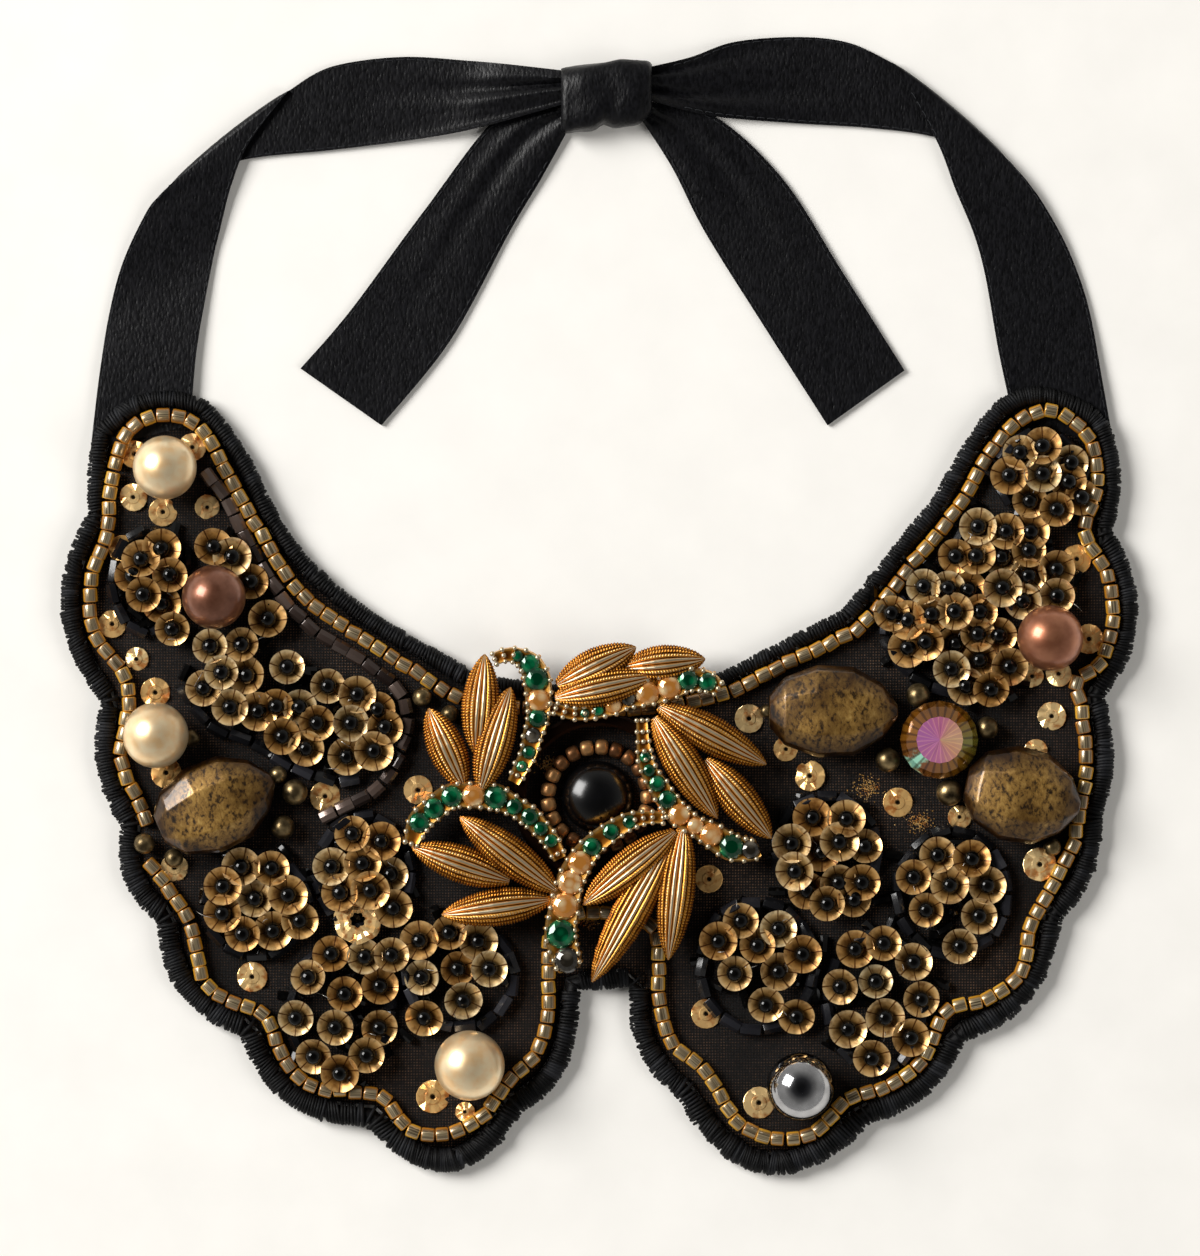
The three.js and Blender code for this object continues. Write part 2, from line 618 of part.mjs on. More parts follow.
function strip(table) {
  const layer = ribbonThickness + foldGap;
  const outside = table[0].ax < 0 ? -1 : 1;
  const sections = table.map((row) => {
    const a = place(row.ax, row.ay);
    const b = place(row.bx, row.by);
    const along = new THREE.Vector3().subVectors(b, a).normalize();
    const outward = new THREE.Vector3(-along.y, along.x, 0).multiplyScalar(-outside);
    const turn = THREE.MathUtils.degToRad(row.turn);
    const bend = Math.sin(turn) * (layer / 2);
    const middle = row.height * ribbonThickness + ribbonThickness / 2;
    const through = outward.multiplyScalar(Math.sin(turn)).setZ(Math.cos(turn));
    const half = ribbonThickness / 2;
    return [[a, -half], [b, -half], [b, half], [a, half]].map(([edge, side]) => {
      const point = edge.clone().addScaledVector(through, side);
      const shift = new THREE.Vector3(through.x, through.y, 0).multiplyScalar(bend);
      return point.add(shift).setZ(middle + through.z * side);
    });
  });
  return loft(sections);
}

// A strap ends at the whipped edge that it is sewn to
function strap(table) {
  const wider = outline.map((point, i) => point.clone().addScaledVector(outlineMitres[i], seatGap));
  const cutter = plate(wider, 2 * knotHeight).translate(0, 0, -knotHeight);
  return geometryOf(solid(strip(table)).subtract(solid(cutter)));
}

// The knot: a wrap of ribbon round the gathered bands, in sections from left to right
const knotSections = rows(["x", "y", "halfWidth", "height"], [
  [-0.078, 1.01, 0.058, 0.86],
  [-0.06, 1.01, 0.064, 0.98],
  [0.01, 1.02, 0.066, 1],
  [0.08, 1.03, 0.058, 0.98],
  [0.1, 1.034, 0.05, 0.84],
]);

const knotCorners = rows(["side", "up"], [
  [-0.72, 0], [0.72, 0], [1, 0.26], [1, 0.66], [0.62, 0.96], [0, 1], [-0.62, 0.96],
  [-1, 0.66], [-1, 0.26],
]);

function knot() {
  const sections = knotSections.map((row) =>
    knotCorners.map(({ side, up }) =>
      place(row.x, row.y + side * row.halfWidth, up * row.height * knotHeight),
    ),
  );
  return loft(sections);
}

// Materials
const paint = (color, roughness, metalness) =>
  new THREE.MeshStandardMaterial({ color, roughness, metalness, flatShading: true });
const materials = {
  mesh: paint(0x241b17, 0.85, 0.1),
  thread: paint(0x101012, 0.8, 0),
  borderBead: paint(0xa9792f, 0.25, 0.5),
  darkBugle: paint(0x3a2f31, 0.3, 0.2),
  blackBugle: paint(0x121212, 0.25, 0.1),
  sequin: paint(0xb98a4a, 0.35, 0.8),
  cream: paint(0xe8d3a8, 0.25, 0.1),
  brown: paint(0x6b4636, 0.25, 0.3),
  copper: paint(0x8a5a42, 0.25, 0.4),
  steel: paint(0xb8b8ba, 0.1, 1),
  antique: paint(0x5e523c, 0.45, 0.8),
  nugget: paint(0x8d6c36, 0.4, 0.4),
  crystal: paint(0xb08a70, 0.05, 0.1),
  onyx: paint(0x080808, 0.08, 0),
  bronze: paint(0x8a5f3a, 0.5, 0.8),
  brooch: paint(0xc9761a, 0.35, 1),
  ribbon: paint(0x0d0d0e, 0.6, 0),
};

const collar = new THREE.Group();

function add(name, geometry, material, x = 0, y = 0, z = 0, turn = 0) {
  const mesh = new THREE.Mesh(geometry, material);
  mesh.name = name;
  mesh.position.copy(place(x, y, z));
  mesh.rotation.z = THREE.MathUtils.degToRad(turn);
  collar.add(mesh);
  return mesh;
}

add("bib_backing", backing(), materials.mesh);
add("whipped_edge", whippedEdge(), materials.thread);

const border = routed(borderRoute, stringSteps.border);
add("gold_bead_border", string(border, borderBeadDiameter, fabricTop, false), materials.borderBead);
const dark = routed(darkRoute, stringSteps.dark);
add("dark_bugle_row", string(dark, darkBugleDiameter, fabricTop, false), materials.darkBugle);
const lower = routed(lowerRoute, stringSteps.lower);
const blackString = (points, closed) => string(points, blackBugleDiameter, fabricTop, closed);
add("black_bugle_row", blackString(lower, false), materials.blackBugle);

const moundInset = blackBugleDiameter / 2 + seatGap;
clusters.forEach((cluster, i) => {
  const number = String(i + 1).padStart(2, "0");
  add(`bugle_ring_${number}`, blackString(clusterRim(cluster, 0), true), materials.blackBugle);
  add(`cup_cluster_${number}`, mound(clusterRim(cluster, moundInset)), materials.sequin);
});
add("cup_cluster_13", mound(routed(longCluster, stringSteps.longCluster, true)), materials.sequin);

for (const pearl of pearls) {
  const height = fabricTop + pearl.diameter / 2;
  const bead = roundBead(pearl.diameter, pearlSides);
  add(pearl.name, bead, materials[pearl.finish], pearl.x, pearl.y, height);
}
smallBeads.forEach((bead, i) => {
  const number = String(i + 1).padStart(2, "0");
  const ball = roundBead(bead.diameter, smallBeadSides);
  const height = fabricTop + bead.diameter / 2;
  add(`antique_bead_${number}`, ball, materials.antique, bead.x, bead.y, height);
});
nuggets.forEach((row, i) => {
  add(`nugget_${i + 1}`, nugget(row), materials.nugget, row.x, row.y, fabricTop, row.turn);
});
add("rivoli_crystal", crystal(), materials.crystal, crystalMiddle.x, crystalMiddle.y, fabricTop);

add("onyx_cabochon", cabochon(), materials.onyx, broochMiddle.x, broochMiddle.y, fabricTop);
add("bronze_bead_ring", seedRing(), materials.bronze, broochMiddle.x, broochMiddle.y, fabricTop);
add("brooch", brooch(), materials.brooch);

add("ribbon_left", strap(ribbonLeft), materials.ribbon);
add("ribbon_right", strap(ribbonRight), materials.ribbon);
add("tail_left", strip(tailLeft), materials.ribbon);
add("tail_right", strip(tailRight), materials.ribbon);
add("ribbon_knot", knot(), materials.ribbon);

// The origin is under the middle of the whole necklace
const box = new THREE.Box3().setFromObject(collar, true);
const middle = box.getCenter(new THREE.Vector3());
collar.position.set(-middle.x, -middle.y, -box.min.z);

const necklace = new THREE.Group();
necklace.add(collar);
export default necklace;
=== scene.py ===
# %% [markdown]
# # A beaded bib necklace
# The necklace lies flat and is seen from straight above: a scalloped collar of dark mesh cloth,
# whipped round its rim with black thread, sewn all over with beads, cup sequins, pearls and
# stones, with a gilt leaf brooch in the middle and a black ribbon tied behind the neck.
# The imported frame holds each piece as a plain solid, and every piece here stands where its
# solid stands. We begin by loading that frame and keeping its box.

# %% Load the frame
import math
import random

import bmesh
import bpy
import numpy as np
from mathutils import Matrix, Vector, geometry, noise


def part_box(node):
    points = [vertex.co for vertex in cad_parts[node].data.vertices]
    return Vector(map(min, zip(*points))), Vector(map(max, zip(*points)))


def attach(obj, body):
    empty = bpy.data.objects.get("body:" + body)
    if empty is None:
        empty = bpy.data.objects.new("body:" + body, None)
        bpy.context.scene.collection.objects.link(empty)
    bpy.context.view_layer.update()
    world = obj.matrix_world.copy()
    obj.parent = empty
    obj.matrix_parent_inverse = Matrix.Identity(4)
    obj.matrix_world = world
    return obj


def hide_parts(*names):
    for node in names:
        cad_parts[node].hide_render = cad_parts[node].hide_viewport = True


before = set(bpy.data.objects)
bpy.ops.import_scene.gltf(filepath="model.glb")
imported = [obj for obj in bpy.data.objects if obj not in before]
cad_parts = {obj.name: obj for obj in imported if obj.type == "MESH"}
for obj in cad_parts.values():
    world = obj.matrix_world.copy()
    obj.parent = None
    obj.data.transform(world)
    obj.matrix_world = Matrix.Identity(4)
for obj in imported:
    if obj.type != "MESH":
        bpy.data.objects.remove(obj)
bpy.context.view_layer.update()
MM = 0.001
dice = random.Random(7)

# %% [markdown]
# ## Reading places off the picture
# Every bead was charted in pixels of the 1200 by 1256 picture, and one pixel is 0.21 mm
# of the real necklace. The black stone's solid tells us where pixel (598, 797) lies in the frame,
# so one function turns any charted pixel into a place.

# %% Places and the cloth's height
PIXEL = 0.21 * MM
STONE_PIXEL = (598, 797)
stone_low, stone_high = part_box("onyx_cabochon")
stone_middle = (Vector(stone_low) + Vector(stone_high)) / 2
CLOTH_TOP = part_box("bib_backing")[1][2]


def spot(px, py, height=0.0):
    x = stone_middle.x + (px - STONE_PIXEL[0]) * PIXEL
    y = stone_middle.y - (py - STONE_PIXEL[1]) * PIXEL
    return Vector((x, y, height))


print("cloth top at", round(CLOTH_TOP / MM, 2), "mm")

# %% [markdown]
# ## The camera
# The picture looks straight down. A 250 mm lens on a 36 mm sensor stands about 1.8 m up to see
# the 1256 pixels of its height, which are 264 mm of table. The long lens keeps the tall pearls
# over their places, as in the picture. The camera comes first, so that nothing later can depend
# on it. A product photograph on white is shown without a film curve, so that its whites stay
# white and its blacks black.

# %% Camera
PICTURE_MIDDLE = (600, 628)
PICTURE_HEIGHT = 1256 * PIXEL
LENS = 250
SENSOR = 36


def placed(name, data):
    """A new object in the scene that shows this data."""
    made = bpy.data.objects.new(name, data)
    bpy.context.scene.collection.objects.link(made)
    return made


camera_data = bpy.data.cameras.new("studio_camera")
camera_data.lens = LENS
camera_data.sensor_width = SENSOR
camera = placed("studio_camera", camera_data)
camera.location = spot(*PICTURE_MIDDLE, PICTURE_HEIGHT * LENS / SENSOR + 4 * MM)
bpy.context.scene.camera = camera
bpy.context.scene.view_settings.view_transform = "Standard"
print("camera height", round(camera.location.z, 3), "m")

# %% [markdown]
# ## Small tools for shapes
# A beaded piece is hundreds of copies of a few small shapes. Building each as an object would be
# slow, so a Heap gathers moved copies into one mesh. Each copy gets a tone from 0 to 1, which a
# material reads to make no two beads alike, and its points may carry two more numbers: depth,
# from hollow to ridge or from middle to rim, and turn, the share of the way round its own axis.


# %% Shape tools
def ring_of(count, reach, height, offset=0.0):
    """Places evenly round a circle about Z."""
    angles = [2 * math.pi * (j + offset) / count for j in range(count)]
    return [(reach * math.cos(angle), reach * math.sin(angle), height) for angle in angles]


def skin_faces(rings, sides, closed=False, inside_out=False):
    """Faces between rings of points, with capped ends unless the last ring meets the first."""
    faces = []
    for i in range(rings if closed else rings - 1):
        a, b = i * sides, ((i + 1) % rings) * sides
        for j in range(sides):
            k = (j + 1) % sides
            face = (a + j, b + j, b + k, a + k) if inside_out else (a + j, a + k, b + k, b + j)
            faces.append(face)
    if not closed:
        ends = [tuple(range(sides)), tuple(reversed(range((rings - 1) * sides, rings * sides)))]
        faces += ends if inside_out else [end[::-1] for end in ends]
    return faces


def turned(profile, sides, closed=False):
    """Spin (radius, height) pairs about Z; closed joins the last pair to the first."""
    points = [point for radius, z in profile for point in ring_of(sides, radius, z)]
    return np.array(points), skin_faces(len(profile), sides, closed)


def loft(sections, inside_out=False):
    """A skin through sections of equal count."""
    points = [point for section in sections for point in section]
    return np.array(points), skin_faces(len(sections), len(sections[0]), inside_out=inside_out)


def ball(radius, sides):
    rings = sides // 2
    angles = [math.pi * (i / rings - 0.5) for i in range(1, rings)]
    return turned([(radius * math.cos(angle), radius * math.sin(angle)) for angle in angles], sides)


def bent_tube(path, radius, sides):
    """A tube along a list of points, whose ends lie buried."""
    sections = []
    for i, place in enumerate(path):
        along = path[min(i + 1, len(path) - 1)] - path[max(i - 1, 0)]
        side = along.cross(Vector((0.31, 0.17, 0.93))).normalized()
        other = along.cross(side).normalized()
        angles = [2 * math.pi * j / sides for j in range(sides)]
        sections.append([
            tuple(place + side * (radius * math.cos(a)) + other * (radius * math.sin(a)))
            for a in angles
        ])
    return loft(sections)


def tube_bead(length, outer, inner, chamfer, sides):
    """A drilled cylinder bead along Z with rounded rims."""
    half = length / 2
    profile = [
        (inner, -half + chamfer / 2), (inner + chamfer / 2, -half), (outer - chamfer, -half),
        (outer - chamfer * 0.3, -half + chamfer * 0.3), (outer, -half + chamfer),
        (outer, half - chamfer), (outer - chamfer * 0.3, half - chamfer * 0.3),
        (outer - chamfer, half), (inner + chamfer / 2, half), (inner, half - chamfer / 2),
    ]
    return turned(profile, sides, closed=True)


def polar(points):
    """Each point's angle and distance about Z."""
    return np.arctan2(points[:, 1], points[:, 0]), np.hypot(points[:, 0], points[:, 1])


# %% Copies gathered into one mesh
class Heap:
    """Copies of small shapes, gathered into one mesh."""

    added = 0

    def __init__(self, name):
        self.name = name
        self.points, self.faces, self.marks = [], [], []
        self.numbers = {"tone": [], "depth": [], "turn": []}
        self.count = 0

    def put(self, shape, matrix=None, mark=0, tone=None, depth=1.0, turn=0.0):
        """Add a copy; mark tells which of the mesh's materials it has."""
        points, faces = shape
        tone = dice.random() if tone is None else tone
        for name, value in (("tone", tone), ("depth", depth), ("turn", turn)):
            self.numbers[name].append(np.broadcast_to(value, len(points)))
        if matrix is not None:
            points = points @ np.array(matrix.to_3x3()).T + np.array(matrix.translation)
        self.points.append(points)
        self.faces += [tuple(self.count + i for i in face) for face in faces]
        self.marks += [mark] * len(faces)
        self.count += len(points)

    def make(self, materials, slot, replaces=None, edges=None, smooth=True):
        """The finished piece; edges sharper than so many degrees stay crisp."""
        mesh = bpy.data.meshes.new(self.name)
        mesh.from_pydata(np.concatenate(self.points).tolist(), [], self.faces)
        for material in materials:
            mesh.materials.append(material)
        mesh.polygons.foreach_set("material_index", self.marks)
        mesh.polygons.foreach_set("use_smooth", [smooth] * len(self.faces))
        for name, values in self.numbers.items():
            attribute = mesh.attributes.new(name, "FLOAT", "POINT")
            attribute.data.foreach_set("value", np.concatenate(values).astype(np.float32))
        mesh.update()
        if edges:
            mesh.set_sharp_from_angle(angle=math.radians(edges))
        piece = placed(self.name, mesh)
        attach(piece, "root")
        if replaces:
            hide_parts(replaces)
        triangles = sum(len(face) - 2 for face in self.faces)
        Heap.added += triangles
        print(self.name, "has", triangles, "triangles")
        return piece


# %% Places to put the copies
def aimed(place, along, roll=0.0):
    """A matrix whose Z runs along a direction, standing at a place."""
    z = along.normalized()
    x = Vector((0, 0, 1)).cross(z)
    x = x.normalized() if x.length > 1e-6 else Vector((1, 0, 0))
    y = z.cross(x)
    turn = Matrix((x, y, z)).transposed().to_4x4()
    return Matrix.Translation(place) @ turn @ Matrix.Rotation(roll, 4, "Z")


def leaning(place, lean, towards, spin=0.0):
    """A matrix that stands upright, then leans by an angle towards a compass direction."""
    axis = Vector((-math.sin(towards), math.cos(towards), 0))
    lean_turn = Matrix.Rotation(lean, 4, axis)
    return Matrix.Translation(place) @ lean_turn @ Matrix.Rotation(spin, 4, "Z")


def strewn(place, least, most):
    """A matrix that leans by so many degrees, any way round."""
    lean = math.radians(dice.uniform(least, most))
    return leaning(place, lean, dice.uniform(0, 6.3), dice.uniform(0, 6))


def jitter(x, y, z):
    """A small random vector with these spreads."""
    return Vector((dice.gauss(0, x), dice.gauss(0, y), dice.gauss(0, z)))


def smooth_through(knots, steps, closed=False):
    """A smooth line through places, each with its share of the way along them."""
    count = len(knots)
    found = []
    for i in range(count if closed else count - 1):
        near = [(i + k) % count if closed else min(max(i + k, 0), count - 1) for k in (-1, 0, 1, 2)]
        p0, p1, p2, p3 = (knots[k] for k in near)
        for s in range(steps):
            t = s / steps
            place = 0.5 * (2 * p1 + (p2 - p0) * t + (2 * p0 - 5 * p1 + 4 * p2 - p3) * t**2
                           + (3 * p1 - p0 - 3 * p2 + p3) * t**3)
            found.append((place, i + t))
    found.append((knots[0 if closed else -1].copy(), float(count if closed else count - 1)))
    return found


def between(values, at):
    """The value between two neighbours of a list, at a place such as 2.5."""
    k = min(int(at), len(values) - 2)
    return values[k] + (values[k + 1] - values[k]) * (at - k)


def walked(route, pitch, closed=False, height=0.0):
    """Places and directions a pitch apart along a smooth curve through charted pixels."""
    fine = [place for place, _ in smooth_through([spot(x, y, height) for x, y in route], 16, closed)]
    lengths = [0.0]
    for a, b in zip(fine, fine[1:]):
        lengths.append(lengths[-1] + (b - a).length)
    count = max(1, round(lengths[-1] / pitch))
    step = lengths[-1] / count
    found, k = [], 0
    for i in range(count):
        target = (i + 0.5) * step
        while lengths[k + 1] < target:
            k += 1
        share = (target - lengths[k]) / max(lengths[k + 1] - lengths[k], 1e-9)
        found.append((fine[k].lerp(fine[k + 1], share), (fine[k + 1] - fine[k]).normalized()))
    return found


# %% [markdown]
# ## Small tools for materials
# Colours are written as the hex values that a picture editor shows, and one function turns them
# to the linear values that Blender mixes. Another adds a node with its settings and links. The
# rest are the few sets of nodes that nearly every material here uses.


# %% Material tools
def linear(hex_colour):
    channels = [int(hex_colour[i : i + 2], 16) / 255 for i in (1, 3, 5)]
    turned_linear = [c / 12.92 if c <= 0.04045 else ((c + 0.055) / 1.055) ** 2.4 for c in channels]
    return (*turned_linear, 1.0)


def add_node(tree, kind, inputs=None, **settings):
    made = tree.nodes.new(kind)
    for name, value in settings.items():
        setattr(made, name, value)
    for socket, value in (inputs or {}).items():
        if isinstance(value, bpy.types.NodeSocket):
            tree.links.new(value, made.inputs[socket])
        else:
            made.inputs[socket].default_value = value
    return made


def surface(name, **settings):
    """A new material, its node tree and its shader with these socket values."""
    material = bpy.data.materials.new(name)
    material.use_nodes = True
    shader = material.node_tree.nodes["Principled BSDF"]
    for socket, value in settings.items():
        shader.inputs[socket.replace("_", " ")].default_value = value
    return material, material.node_tree, shader


def ramp(tree, factor, stops):
    """A colour ramp through (place, hex) stops."""
    made = add_node(tree, "ShaderNodeValToRGB", {"Fac": factor})
    elements = made.color_ramp.elements
    while len(elements) < len(stops):
        elements.new(0.5)
    for element, (where, colour) in zip(elements, stops):
        element.position = where
        element.color = linear(colour)
    return made.outputs["Color"]


def places(tree):
    """Object coordinates in metres."""
    return add_node(tree, "ShaderNodeTexCoord").outputs["Object"]


def number(tree, name):
    """A number that the mesh carries, for a material to read."""
    return add_node(tree, "ShaderNodeAttribute", attribute_name=name).outputs["Fac"]


def clouded(tree, scale, detail=2.0, vector=None, **more):
    """The grey of a noise whose cells are 1 / scale metres wide."""
    sockets = {"Vector": vector or places(tree), "Scale": scale, "Detail": detail, **more}
    return add_node(tree, "ShaderNodeTexNoise", sockets).outputs["Fac"]


def mixed(tree, below, above, share=1.0, blend="MULTIPLY"):
    """One colour laid over another."""
    sockets = {0: share, 6: below, 7: above}
    return add_node(tree, "ShaderNodeMix", sockets, data_type="RGBA", blend_type=blend).outputs[2]


def calculated(tree, operation, *values):
    return add_node(tree, "ShaderNodeMath", dict(enumerate(values)), operation=operation).outputs[0]


def spread(tree, value, low, high):
    """A value from 0 to 1, spread between two others."""
    sockets = {"Value": value, "To Min": low, "To Max": high}
    return add_node(tree, "ShaderNodeMapRange", sockets).outputs[0]


def plug(shader, **sockets):
    """Link outputs to the shader's sockets of these names."""
    for socket, value in sockets.items():
        shader.id_data.links.new(value, shader.inputs[socket.replace("_", " ")])


def bump(shader, height, distance, strength):
    sockets = {"Height": height, "Distance": distance, "Strength": strength}
    plug(shader, Normal=add_node(shader.id_data, "ShaderNodeBump", sockets).outputs["Normal"])


# %% [markdown]
# ## The rim's outline
# Each scallop is an arc between two notches. The chart gives where an arc starts, its bulge over
# its chord, and how wide the whipped roll is there, as a share of 4.4 mm.

# %% Outline of the collar
ROLL_WIDTH = 4.4 * MM
ROLL_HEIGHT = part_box("whipped_edge")[1][2]
scallops = [
    (88.5, 514, 0.03, 0.72), (94, 432, 0.2, 0.72), (207, 402, 0.046, 0.64),
    (263, 487, -0.04, 0.66), (316, 567, -0.03, 0.66), (394, 627, 0, 0.66),
    (470, 671, -0.06, 0.64), (717, 675, 0, 0.6), (843, 611, 0, 0.66), (877, 570, 0.01, 0.7),
    (934, 499, 0.01, 0.7), (980, 421, 0.225, 0.7), (1085, 403, 0.12, 0.75),
    (1112, 434, 0.08, 0.75), (1112, 532, 0.175, 0.78), (1104, 697, 0.087, 0.78),
    (1101, 818, 0.112, 0.8), (1061, 920, 0.158, 0.84), (963.5, 1042, 0.128, 0.92),
    (871, 1122, 0.33, 1), (678, 1097, 0.1, 0.9), (631, 1020, 0, 0.8), (631, 986, 0, 0.8),
    (579, 990, 0.02, 0.8), (573, 1043, 0.125, 0.85), (522.5, 1111, 0.337, 1),
    (366, 1125, 0.184, 0.95), (241, 1035, 0.174, 0.9), (158, 922, 0.155, 0.9),
    (122, 826, 0.114, 0.85), (101.5, 702, 0.175, 0.8),
]


def rim_points(step):
    """Points round the rim a step apart, each with its outward direction and roll width."""
    found = []
    for i, (x, y, bulge, width) in enumerate(scallops):
        next_x, next_y, _, next_width = scallops[(i + 1) % len(scallops)]
        start, end = spot(x, y), spot(next_x, next_y)
        chord = end - start
        outward = Vector((-chord.y, chord.x, 0)).normalized()
        arc_length = chord.length * (1 + 2.6 * bulge**2)
        pieces = max(1, round(arc_length / step))
        for k in range(pieces):
            t = k / pieces
            place = start + chord * t + outward * (4 * bulge * chord.length * t * (1 - t))
            found.append((place, (width + (next_width - width) * t) * ROLL_WIDTH))
    count = len(found)
    finished = []
    for i, (place, width) in enumerate(found):
        along = found[(i + 1) % count][0] - found[i - 1][0]
        outward = Vector((-along.y, along.x, 0)).normalized()
        finished.append((place, outward, width))
    return finished


rim = rim_points(1.2 * MM)
print("rim of", len(rim), "points")

# %% [markdown]
# ## Dark mesh cloth
# The ground is a bronze-brown nylon mesh over felt. Its threads are 0.3 mm apart, too fine for
# the picture, so the weave is drawn at 0.6 mm. Threads cross over and under, which a pair of
# sine waves gives, and painted bronze glints, painted highlights, sit where a thread turns up to
# the light. Fine felt fuzz and slow patches of wear come from noise at two sizes.

# %% Material: nylon mesh over felt
WEAVE_PITCH = 0.6 * MM
WAVE_BANDS = 3.2  # bands of the wave texture in one unit of its scale
mesh_cloth, tree, shader = surface("nylon_mesh_over_felt", Roughness=0.5, Specular_IOR_Level=0.22)
threads_both_ways = [
    add_node(
        tree, "ShaderNodeTexWave",
        {"Vector": places(tree), "Scale": 1 / WEAVE_PITCH / WAVE_BANDS, "Distortion": 2.2,
         "Detail Scale": 260.0},
        wave_type="BANDS", bands_direction=direction,
    ).outputs["Fac"]
    for direction in "XY"
]
crossing = calculated(tree, "MULTIPLY", *threads_both_ways)
# Painted highlight: bronze glints on the crossing threads, over the weave's own tone.
weave_and_painted_glint = calculated(tree, "MULTIPLY", crossing, clouded(tree, 900.0, 3.0))
weave = ramp(tree, weave_and_painted_glint, [(0.0, "#070504"), (0.16, "#130E0B"), (0.3, "#2E221B"), (0.55, "#836248")])
worn_patches = ramp(tree, clouded(tree, 45.0, 4.0), [(0.35, "#6E6660"), (0.65, "#FFFFFF")])
plug(shader, Base_Color=mixed(tree, weave, worn_patches))
bump(shader, crossing, 0.12 * MM, 0.8)

# %% [markdown]
# ## The collar's pad
# The pad is felt and mesh with leather behind, 2.4 mm thick. A flat plate would look like card,
# so the top is a net of points inside the rim, drawn down towards the rim and rippled by the
# stitches. The net comes from a constrained triangulation of the rim with a grid of inner
# points, which follows the scallops without long thin triangles.

# %% Collar pad
PAD_GAP = 0.2 * MM
PAD_FOOT = 0.05 * MM
PAD_RIPPLE = 0.22 * MM
RIPPLES = [(130, 0.5), (420, 0.2)]
DRAWN_DOWN = 3 * MM
RIM_SHARE = 0.72
GRID = 1.9 * MM
edge_list = [(place - out * (width + PAD_GAP)).xy.to_tuple() for place, out, width in rim[::2]]
edge_array = np.array(edge_list)


def distance_to_edge(point):
    return float(np.sqrt(((edge_array - np.array(point)) ** 2).sum(1).min()))


def inside(point, polygon):
    x, y = point
    crossings = False
    for (x1, y1), (x2, y2) in zip(polygon, polygon[1:] + polygon[:1]):
        if (y1 > y) != (y2 > y) and x < (x2 - x1) * (y - y1) / (y2 - y1) + x1:
            crossings = not crossings
    return crossings


def pad_top(p):
    """Height of the pad's top, lower near the rim and rippled at two sizes."""
    drawn = min(1.0, distance_to_edge(p) / DRAWN_DOWN)
    waves = [noise.noise(Vector((p.x, p.y, i)) * fine) * high for i, (fine, high) in enumerate(RIPPLES)]
    return CLOTH_TOP * (RIM_SHARE + (1 - RIM_SHARE) * drawn) + sum(waves) * drawn * PAD_RIPPLE


low, high = edge_array.min(0), edge_array.max(0)
inner = []
for i in range(int((high[0] - low[0]) / GRID)):
    for j in range(int((high[1] - low[1]) / GRID)):
        point = (low[0] + (i + 0.5 * (j % 2)) * GRID, low[1] + j * GRID * 0.87)
        if inside(point, edge_list) and distance_to_edge(point) > 0.8 * GRID:
            inner.append(point)
rim_edges = [(i, (i + 1) % len(edge_list)) for i in range(len(edge_list))]
net, _, net_faces, *_ = geometry.delaunay_2d_cdt(
    [Vector(p) for p in edge_list + inner], rim_edges, [], 1, 1e-7
)
count = len(net)
points = np.array([(p.x, p.y, pad_top(p)) for p in net] + [(p.x, p.y, PAD_FOOT) for p in net])
faces = [tuple(f) for f in net_faces] + [tuple(count + i for i in reversed(f)) for f in net_faces]
used = {(a, b): True for f in net_faces for a, b in zip(f, [*f[1:], f[0]])}
walls = [(b, a, count + a, count + b) for a, b in used if (b, a) not in used]
pad = Heap("mesh_cloth_pad")
pad.put((points, faces + walls), tone=0.5)
pad_piece = pad.make([mesh_cloth], "bead_cloth", "bib_backing")

# %% [markdown]
# ## Whipping thread
# Black spun cotton, wound over the rim side by side. Cotton is matt with a soft sheen where its
# fibres turn, and fine fibres show along each strand. Some turns are worn a little greyer.

# %% Material: black cotton thread
cotton, tree, shader = surface("black_cotton_thread", Roughness=0.6, Specular_IOR_Level=0.22)
strand = [(0.0, "#020203"), (0.5, "#09090A"), (0.85, "#141518"), (1.0, "#232427")]
plug(shader, Base_Color=ramp(tree, number(tree, "tone"), strand))
bump(shader, clouded(tree, 2600.0, 4.0), 0.14 * MM, 0.9)

# %% [markdown]
# ## The whipped edge
# The rim is a soft roll bound by some 1,100 turns of thread. Each turn is a bent tube from the
# roll's outer foot over its top to the inside. They lie in bundles of three to five that share a
# lean and a pull, since a sewer draws the thread tight now and then, and that gives the edge its
# lumpy outline. A dark core under them closes the gaps.

